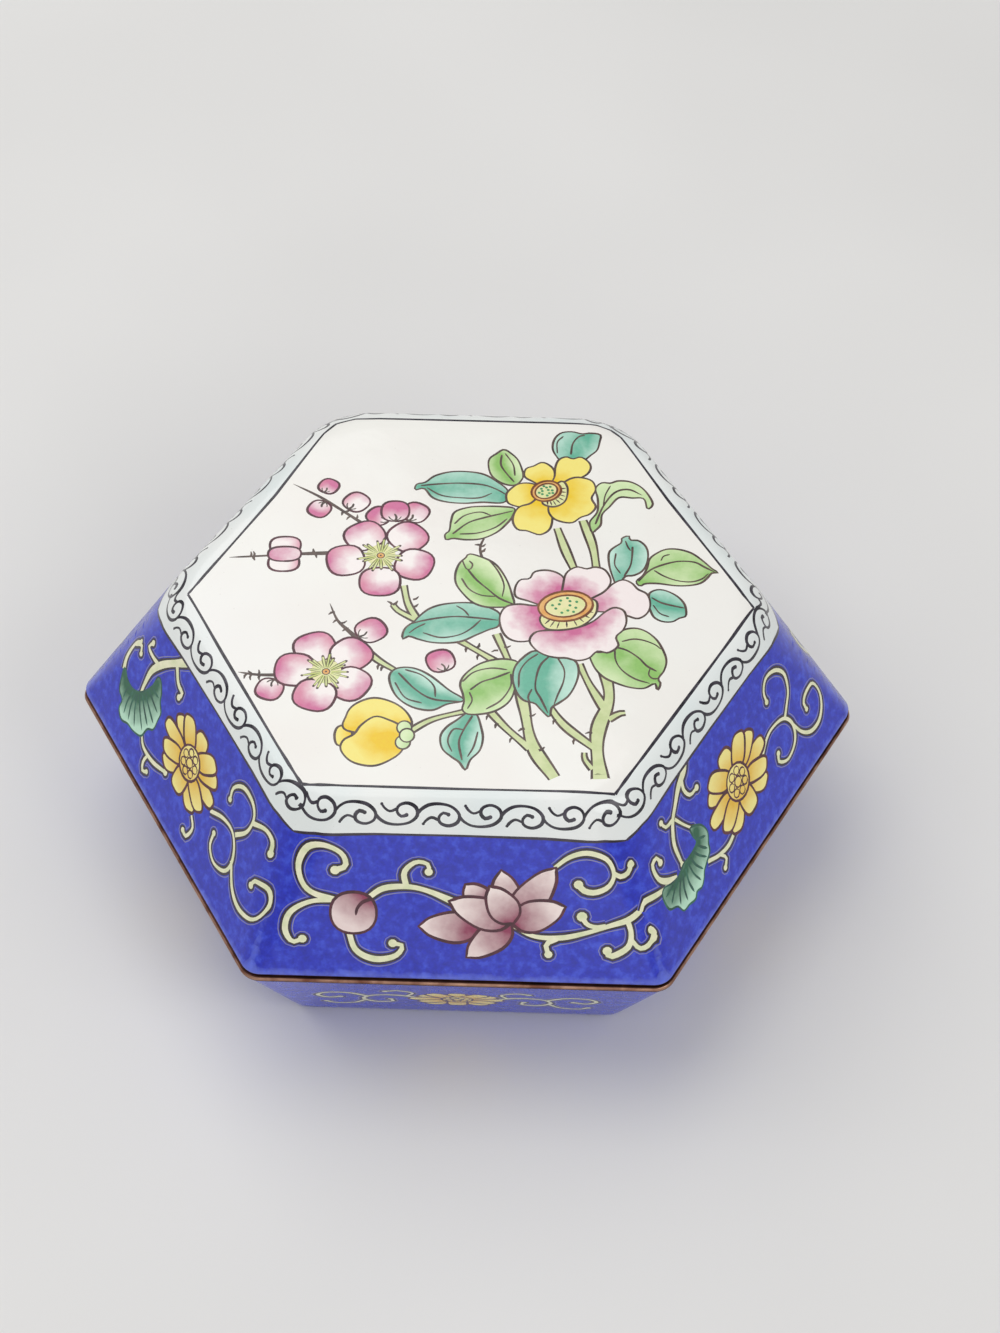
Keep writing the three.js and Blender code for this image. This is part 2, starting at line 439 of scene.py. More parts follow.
class SidePanel:
    """One side of a skin, in its own millimetres: x to the right and y up the slope."""

    def __init__(self, skin, side, upwards):
        self.skin = skin
        self.middle = (side + 0.5) * SIXTH
        self.upwards = upwards
        self.edge = skin.q[-1] if upwards < 0 else FOOT_PAINT_START

    def place(self, points):
        points = np.asarray(points, float)
        q = self.edge + self.upwards * points[:, 1]
        along = points[:, 0] * q / np.interp(q, self.skin.q, self.skin.apothem)
        cos, sin = math.cos(self.middle), math.sin(self.middle)
        return np.stack([q * cos - along * sin, q * sin + along * cos], axis=1)

    def read(self, flat):
        cos, sin = math.cos(self.middle), math.sin(self.middle)
        q = flat[:, 0] * cos + flat[:, 1] * sin
        along = flat[:, 1] * cos - flat[:, 0] * sin
        x = along * np.interp(q, self.skin.q, self.skin.apothem) / np.maximum(q, 1e-9)
        return np.stack([x, (q - self.edge) * self.upwards], axis=1)


class TopPanel:
    """The top of a skin, in millimetres of its plan."""

    def __init__(self, skin):
        self.skin = skin

    def place(self, points):
        points = np.asarray(points, float)
        flat = points.copy()
        for _ in range(12):
            flat += points - self.skin.lift(flat)[0][:, :2]
        return flat

    def read(self, flat):
        return self.skin.lift(flat)[0][:, :2]


class SheetPanel:
    """The unrolled sheet itself."""

    def place(self, points):
        return np.array(points, float)

    def read(self, flat):
        return flat


# q where the sides of the base begin to be painted
FOOT_PAINT_START = 41.0

# Corners of the line round the picture, in plan, anticlockwise from the right-hand one. A few of
# them round each corner of the hexagon.
PICTURE_EDGE = (
    (40.4, -0.45), (39.8, 0.35), (39.0, 1.5), (34.6, 9.2), (28.6, 19.7), (21.9, 32.6), (20.4, 34.2), (18.2, 35.2),
    (-18.0, 35.0), (-20.9, 34.0), (-22.6, 31.6), (-28.8, 18.4), (-34.3, 8.3), (-38.4, 0.85), (-39.1, -0.3),
    (-39.65, -1.1), (-33.9, -11.8), (-24.9, -28.0), (-23.1, -31.1), (-22.0, -32.9), (-21.2, -34.1),
    (-20.1, -34.3), (-18.5, -34.4), (-15.5, -34.55), (-0.5, -34.6), (13.2, -34.5), (18.3, -34.5), (20.5, -34.4),
    (21.2, -33.3), (22.3, -31.5), (24.2, -28.4), (34.1, -11.6), (37.2, -6.3),
)
# The brush strokes that the line is drawn in, each from one of its corners to another
PICTURE_STROKES = ((0, 15), (15, 20), (20, 27), (27, 33))

# Where the blue begins across each side of the lid: the share from ridge to ridge, and q there
BLUE_EDGE = ((-1.0, 42.4), (-0.86, 41.7), (-0.5, 41.3), (0.0, 41.2), (0.5, 41.3), (0.86, 41.7))
# q of the middle of the scrolls on each side
SCROLL_LINE = (38.4, 38.3, 38.4, 38.4, 38.3, 38.4)


# Painting

SEED = 8
RIM_SPACING = 1.5  # mm between the points of the rim and of the rings inside it
EDGE_STEPS = 6  # points on each straight run of the blue's edge and of the foot
PICTURE_STEPS = 10  # points on each straight run of the line round the picture
CURVE_STEPS = 16  # points between two given ones of a smooth curve, before it is evened out
SNAP = 1e-4  # mm; points closer than this become one
SLIVER = 5e-4  # square mm; smaller triangles along the rim are left out
BRUSH_PRESS = 6  # how fast a stroke reaches its full width, in widths per length of stroke
BRUSH_WOBBLE = 0.16  # how much a stroke swells and thins, as a share of its width


class Painting:
    """Shapes painted one over another on a skin, which become parts of its own mesh."""

    def __init__(self, skin, spacing, rings):
        self.skin = skin
        self.points = [np.array(skin.ring(skin.end, spacing))]
        self.rim_count = len(self.points[0])
        self.count = self.rim_count
        self.outlines = [list(range(self.rim_count))]
        self.patch_of = [0]
        self.patches = []
        self.extra = [skin.ring(q, spacing) for q in rings]
        self.chance = random.Random(SEED)

    def ground(self, paint):
        self.patches.append((paint, None, 0.0))

    def add(self, groups, paint, grain=None):
        """One painted shape, made of one or more outlines in sheet points."""
        number = len(self.patches)
        self.patches.append((paint, grain, self.chance.random()))
        for flat in groups:
            area = area_of(flat)
            if abs(area) < 1e-5:
                continue
            self.points.append(flat if area > 0 else flat[::-1])
            self.outlines.append(list(range(self.count, self.count + len(flat))))
            self.count += len(flat)
            self.patch_of.append(number)

    def cut(self):
        """The sheet cut into triangles along every outline, each with the shape that lies on top."""
        points = np.vstack(self.points + [np.array(ring) for ring in self.extra])
        spots = [Vector(point) for point in points.tolist()]
        found = delaunay_2d_cdt(spots, [], self.outlines, 1, SNAP, True)
        flat = np.array([tuple(v) for v in found[0]])
        faces = np.array(found[2])
        on_rim = np.array([bool(sources) and min(sources) < self.rim_count for sources in found[3]])
        a, b, c = (flat[faces[:, i]] for i in range(3))
        area = np.abs((b - a)[:, 0] * (c - a)[:, 1] - (b - a)[:, 1] * (c - a)[:, 0]) / 2
        kept = ~(on_rim[faces].all(axis=1) & (area < SLIVER))
        covered = np.zeros(len(self.outlines))
        for size, outlines in zip(area, found[5]):
            covered[outlines] += size
        drawn = np.array([abs(area_of(points[outline])) for outline in self.outlines])
        patch_of = np.where(covered > 2 * drawn + 1, 0, self.patch_of)
        on_top = np.array([max(patch_of[outlines], default=0) for outlines in found[5]])
        return flat, faces[kept], on_top[kept]


class Pen:
    """Draws on a panel in a frame of its own, which can be moved, turned and stretched."""

    def __init__(self, painting, panel, matrix=None, origin=(0.0, 0.0)):
        self.painting = painting
        self.panel = panel
        self.matrix = np.eye(2) if matrix is None else matrix
        self.origin = np.array(origin, float)

    def at(self, x, y, turn=0.0, wide=1.0, high=None):
        """A pen at a place, turned by degrees, whose unit is wide by high millimetres."""
        angle = math.radians(turn)
        cos, sin = math.cos(angle), math.sin(angle)
        turned = np.array([[cos, -sin], [sin, cos]]) @ np.diag([wide, wide if high is None else high])
        origin = self.origin + self.matrix @ np.array([x, y], float)
        return Pen(self.painting, self.panel, self.matrix @ turned, origin)

    def out(self, points):
        return np.asarray(points, float) @ self.matrix.T + self.origin

    def fill(self, outline, paint, grain=None):
        """A closed shape. Its grain turns local x and y into across and along values."""
        back = np.linalg.inv(self.matrix)

        def read(flat):
            local = (self.panel.read(flat) - self.origin) @ back.T
            return grain(local[:, 0], local[:, 1])

        flat = self.panel.place(self.out(outline))
        self.painting.add([flat], paint, read if grain else None)

    def line(self, points, width, paint="brush_line", ends=(0.45, 0.35), closed=False, swell=None):
        """A brush line of a width in panel millimetres; ends are the shares left at its two ends.

        Its width swells and thins along its run. Layers of one stroke share a swell.
        """
        run = self.out(points)
        if closed:
            run = np.vstack([run, run[:1]])
        steps = np.gradient(run, axis=0)
        steps /= np.maximum(np.linalg.norm(steps, axis=1, keepdims=True), 1e-9)
        if closed:
            steps[0] = steps[-1] = (steps[0] + steps[-1]) / 2
        beside = np.stack([-steps[:, 1], steps[:, 0]], axis=1)
        t = np.linspace(0, 1, len(run))
        press = np.minimum(1, ends[0] + t * BRUSH_PRESS) * np.minimum(1, ends[1] + (1 - t) * BRUSH_PRESS)
        swell = self.painting.chance.random() * 6 if swell is None else swell
        wobble = 1 + BRUSH_WOBBLE * np.sin(t * len(run) * 0.35 + swell)
        half = (np.interp(t, [0, 1], width) if isinstance(width, tuple) else width) / 2
        half = (half * press * wobble)[:, None]
        left = self.panel.place(run + beside * half)
        right = self.panel.place(run - beside * half)
        quads = []
        for i in range(len(run) - 1):
            quad = np.array([right[i], right[i + 1], left[i + 1], left[i]])
            bends = turns_of(quad)
            if bends.min() > 0 or bends.max() < 0:
                quads.append(quad)
            else:
                quads += [quad[:3], quad[[0, 2, 3]]]
        self.painting.add(quads, paint)

    def dot(self, x, y, radius, paint, corners=10):
        """A round dot of a radius in panel millimetres, however the pen is stretched."""
        centre = self.out([(x, y)])[0]
        self.painting.add([self.panel.place(centre + circle(radius, corners))], paint)


def area_of(flat):
    """The area inside an outline, below zero where it runs clockwise."""
    ahead = np.roll(flat, -1, axis=0)
    return np.sum(flat[:, 0] * ahead[:, 1] - ahead[:, 0] * flat[:, 1]) / 2


def turns_of(flat):
    """How far an outline turns at each of its corners, as signed areas."""
    ahead = np.roll(flat, -1, axis=0) - flat
    behind = flat - np.roll(flat, 1, axis=0)
    return behind[:, 0] * ahead[:, 1] - behind[:, 1] * ahead[:, 0]


def smooth(points, step=0.1, closed=False):
    """An even run of points on a smooth curve through a few."""
    p = [np.array(point, float) for point in points]
    knots = [p[-1], *p, p[0], p[1]] if closed else [2 * p[0] - p[1], *p, 2 * p[-1] - p[-2]]
    dense = []
    for a, b, c, d in zip(knots, knots[1:], knots[2:], knots[3:]):
        for t in np.arange(CURVE_STEPS) / CURVE_STEPS:
            dense.append(
                0.5 * (2 * b + (c - a) * t + (2 * a - 5 * b + 4 * c - d) * t**2 + (3 * b - a - 3 * c + d) * t**3)
            )
    dense.append(p[0] if closed else p[-1])
    dense = np.array(dense)
    runs = np.concatenate([[0], np.cumsum(np.linalg.norm(np.diff(dense, axis=0), axis=1))])
    count = max(3, round(runs[-1] / step))
    wanted = np.linspace(0, runs[-1], count + 1)
    if closed:
        wanted = wanted[:-1]
    return np.stack([np.interp(wanted, runs, dense[:, 0]), np.interp(wanted, runs, dense[:, 1])], axis=1)


def circle(radius=1.0, count=20):
    angles = np.arange(count) * 2 * math.pi / count
    return np.stack([np.cos(angles) * radius, np.sin(angles) * radius], axis=1)


def nearest(points, run):
    """How far each point lies from the closest point of a run."""
    return np.linalg.norm(points[:, None] - run, axis=2).min(axis=1)


def outlined(pen, outline, paint, width, grain=None, ink="brush_line"):
    """A filled shape with a brush line round it."""
    pen.fill(outline, paint, grain)
    pen.line(outline, width, ink, ends=(0.9, 0.9), closed=True)


def along_y(x, y):
    """Grain of a shape whose foot is at y = 0 and whose tip is at y = 1."""
    return np.abs(x) * 0.3, y


def foot_to_tip(x, y):
    """Grain of a shape whose foot is at y = -1 and whose tip is at y = 1."""
    return x, 0.5 + 0.5 * y


# Flowers and leaves

PLUM_PETAL = 2.95  # half the width of a plum petal, in mm
LONG_PETALS = 12  # of a chrysanthemum
ROSETTE = 7  # small circles in its middle


def round_petal(blunt=0.04):
    """A round petal or bud, a little squarer than a circle, foot at y = -1 and tip at y = 1."""
    angles = np.arange(26) * 2 * math.pi / 26
    reach = 1 + blunt * (0.5 - np.cos(4 * angles))
    return np.stack([np.sin(angles) * reach, -np.cos(angles) * reach], axis=1)


def pointed_petal():
    """A lotus petal with a sharp tip, foot at the origin and tip at y = 1."""
    side = smooth([(0.0, 0.0), (0.3, 0.14), (0.42, 0.42), (0.26, 0.8), (0.0, 1.0)], 0.09)
    return np.vstack([side, side[-2:0:-1] * (-1, 1)])


def aimed(pen, foot, tip, width):
    """A pen whose y runs from a foot to a tip, one unit long, and whose x unit is a width."""
    run = np.array(tip, float) - foot
    turn = math.degrees(math.atan2(run[1], run[0])) - 90
    return pen.at(foot[0], foot[1], turn, width, float(np.hypot(*run)))


def stamens(pen, reach, count, line):
    """Fine threads with dark tips round a small brown middle."""
    pen.fill(circle(reach * 0.64, 20), "flower_eye")
    for i in range(count):
        angle = 2 * math.pi * (i + 0.3 * math.sin(i * 2.4)) / count
        far = reach * (0.9 + 0.12 * math.sin(i * 3.7))
        cos, sin = math.cos(angle), math.sin(angle)
        run = [(cos * 0.7, sin * 0.7), (cos * far * 0.6, sin * far * 0.6), (cos * far, sin * far)]
        pen.line(run, line * 1.5, "olive_line", ends=(0.6, 0.8))
        pen.line(run, line * 0.7, "stamen", ends=(1.0, 1.0))
        pen.dot(cos * far, sin * far, 0.2, "brush_line", corners=6)
    pen.dot(0, 0, 0.62, "brush_line")
    pen.dot(0, 0, 0.46, "orange_ring")
    pen.dot(0, 0, 0.16, "brush_line", corners=7)


def plum_blossom(pen, petals, line):
    """Round petals at the places given round a star of stamens."""
    for x, y in petals:
        facing = math.degrees(math.atan2(y, x)) - 90
        petal = pen.at(x * 0.95, y * 0.95, facing, PLUM_PETAL, PLUM_PETAL * 0.93)
        outlined(petal, round_petal(), "plum_petal", line * 1.1, foot_to_tip, "maroon_line")
    stamens(pen, 3.3, 17, line)


def bud(pen, radius, line, foot, depth):
    """A closed round bud with a cleft that rises from its foot, which points in a direction."""
    own = pen.at(0, 0, foot + 90, radius * 0.9)
    outlined(
        own, round_petal(), "plum_petal", line * 1.1,
        lambda x, y: (-x, depth + 0.18 + 0.42 * y), "maroon_line",
    )
    own.line(smooth([(0, -1.0), (0.1, -0.6), (-0.05, -0.25)], 0.1), line, ends=(1.0, 0.3))
    for side in (-1, 1):
        own.line(smooth([(0, -0.95), (0.3 * side, -0.75), (0.45 * side, -0.5)], 0.1), line * 0.6, ends=(1.0, 0.2))


def lobed_flower(pen, petals, paint, line, foot):
    """Broad petals, each an outline, shaded by their distance from the flower's middle."""
    for petal, far in petals:

        def grain(x, y, far=far):
            return x * 0, np.hypot(x - foot[0], y - foot[1]) / far

        outlined(pen, smooth(petal, 0.45, closed=True), paint, line, grain)


def ringed_eye(pen, wide, high, turn, line, fringe):
    """An oval ring round dotted green, with a fringe of pale stamens along its lower side."""
    low = np.array(fringe)
    outlined(pen, smooth(low, 0.4, closed=True), "flower_eye", line)
    for i in range(9):
        t = (i + 0.5) / 9 * (len(low) - 3)
        k = int(t)
        spot = low[k] + (low[k + 1] - low[k]) * (t - k)
        pen.line([spot * 0.66, spot * 0.8, spot * 0.94], line * 0.8)
    eye = pen.at(0, 0, turn, wide, high)
    outlined(eye, circle(1.0, 28), "orange_ring", line * 1.1, ink="brown_line")
    outlined(eye.at(0, 0, 0, 0.76, 0.72), circle(1.0, 24), "flower_eye", line * 0.9, ink="brown_line")
    for i in range(12):
        a = i * 2.4
        r = 0.16 + 0.38 * (i / 12) ** 0.5
        x, y = eye.out([(r * math.cos(a), r * math.sin(a))])[0]
        Pen(eye.painting, eye.panel).dot(x, y, 0.24, "green_dot", corners=6)


def leaf(pen, paint, edge, ribs, line):
    """A leaf from its outline and its ribs, midrib first: deep along the midrib, pale at the edge."""
    edge = smooth(edge, 0.45, closed=True)
    midrib = smooth(ribs[0], 0.5)
    span = nearest(edge, midrib).max()
    run = midrib[-1] - midrib[0]
    run /= np.hypot(*run)

    def grain(x, y):
        share = nearest(np.stack([x, y], axis=1), midrib) / span
        side = np.tanh(((x - midrib[0][0]) * run[1] - (y - midrib[0][1]) * run[0]) / 0.6)
        return share * side, 0.95 - 0.75 * share + 0.25 * side * (1 - share)

    outlined(pen, edge, paint, line, grain)
    for i, rib in enumerate(ribs):
        pen.line(smooth(rib, 0.35), line * (0.95 if i == 0 else 0.8), ends=(0.7, 0.5))


def branches(pen, lines, line):
    """Stems of (points, first width, last width), with one joined outline."""
    runs = [(smooth(points, 0.6), first, last) for points, first, last in lines]
    for extra, paint in ((2 * line, "brush_line"), (0.0, "stem")):
        for number, (run, first, last) in enumerate(runs):
            pen.line(run, (first + extra, last + extra), paint, ends=(1, 1), swell=number)


def spurs(pen, places, line):
    """Short hooked spurs on the twigs, each (x, y, direction)."""
    for x, y, turn in places:
        own = pen.at(x, y, turn)
        own.line([(-0.1, 0), (0.4, 0.02), (0.85, 0.32)], line * 1.2, ends=(1.0, 0.4))


def twig(pen, points, line, places=()):
    """A dark tapering twig with spurs."""
    pen.line(smooth(points, 0.7), (line * 2.1, line * 0.8), ends=(1.0, 0.3))
    spurs(pen, places, line)


def chrysanthemum(pen, wide, high, line, turn=0.0):
    """A yellow flower with long petals round a disc that holds a rosette of small circles."""
    own = pen.at(0, 0, turn, wide, high)
    for k in range(LONG_PETALS):
        i = k * 5 % LONG_PETALS
        angle = i * 360 / LONG_PETALS + 5 * math.sin(i * 2.1)
        reach = 1.0 + 0.04 * math.sin(i * 3.3)
        petal = own.at(0, 0, angle - 90).at(0, 0.64 * reach, 0, 0.225, 0.37 * reach)
        outlined(petal, round_petal(0.06), "gold_petal", line * 1.3, foot_to_tip, "maroon_line")
    ring = own.at(0, 0, 0, 0.33, 0.44)
    outlined(ring, circle(1.0, 20), "gold_petal", line * 1.2, lambda x, y: (x, 0.6 + 0.4 * y), "maroon_line")
    for i in range(ROSETTE):
        angle = 2 * math.pi * i / ROSETTE + 0.2
        small = ring.at(0.6 * math.cos(angle), 0.6 * math.sin(angle))
        small.line(circle(0.24, 8), line * 0.8, "maroon_line", closed=True)
    ring.line(circle(0.3, 9), line * 0.9, "maroon_line", closed=True)


def lotus(pen, petals, line):
    """Pointed petals, each (foot, tip, width), back ones first."""
    for foot, tip, width in petals:
        petal = aimed(pen, foot, tip, width * 1.19)
        outlined(petal, pointed_petal(), "lotus_petal", line * 1.35, along_y, "maroon_line")


def peach(pen, radius, line):
    """A round fruit, deep at the top where a curved cleft runs in."""
    own = pen.at(0, 0, 0, radius)
    outlined(
        own, round_petal(0.02), "peach", line * 1.35,
        lambda x, y: (x * 0, 0.35 + 0.3 * x + 0.5 * y), "maroon_line",
    )
    own.line(smooth([(0.72, 0.66), (0.38, 0.5), (0.16, 0.2), (0.1, -0.12)], 0.1), line * 1.5, "maroon_line",
             ends=(1.0, 0.3))


def ruffled_leaf(pen, edge, spine, ribs, far, line):
    """A folded leaf with a scalloped edge, dark along its spine, and ribs from there to the edge."""
    spine = smooth(spine, 0.6)

    def grain(x, y):
        return x * 0, nearest(np.stack([x, y], axis=1), spine) / far

    outlined(pen, smooth(edge, 0.4, closed=True), "lotus_leaf", line, grain, "leaf_vein")
    for start, end in ribs:
        middle = ((start[0] + end[0]) / 2 + 0.08 * (end[1] - start[1]), (start[1] + end[1]) / 2)
        pen.line(smooth([start, middle, end], 0.5), line * 1.2, "leaf_vein", ends=(1.0, 0.15))


def vines(pen, lines, line):
    """Cream tendrils of (points, first width, last width), edged in black, with a thin pale halo."""
    runs = [(smooth(points, 0.6), first, last) for points, first, last in lines]
    layers = ((3.7 * line, "halo"), (2.9 * line, "cobalt_enamel"), (2.2 * line, "black_line"), (0.0, "tendril"))
    for extra, paint in layers:
        for number, (run, first, last) in enumerate(runs):
            pen.line(run, (first + extra, last + extra), paint, ends=(1, 1), swell=number)
            pen.dot(*run[-1], last * 0.86 + extra / 2, paint)


# The picture on the lid

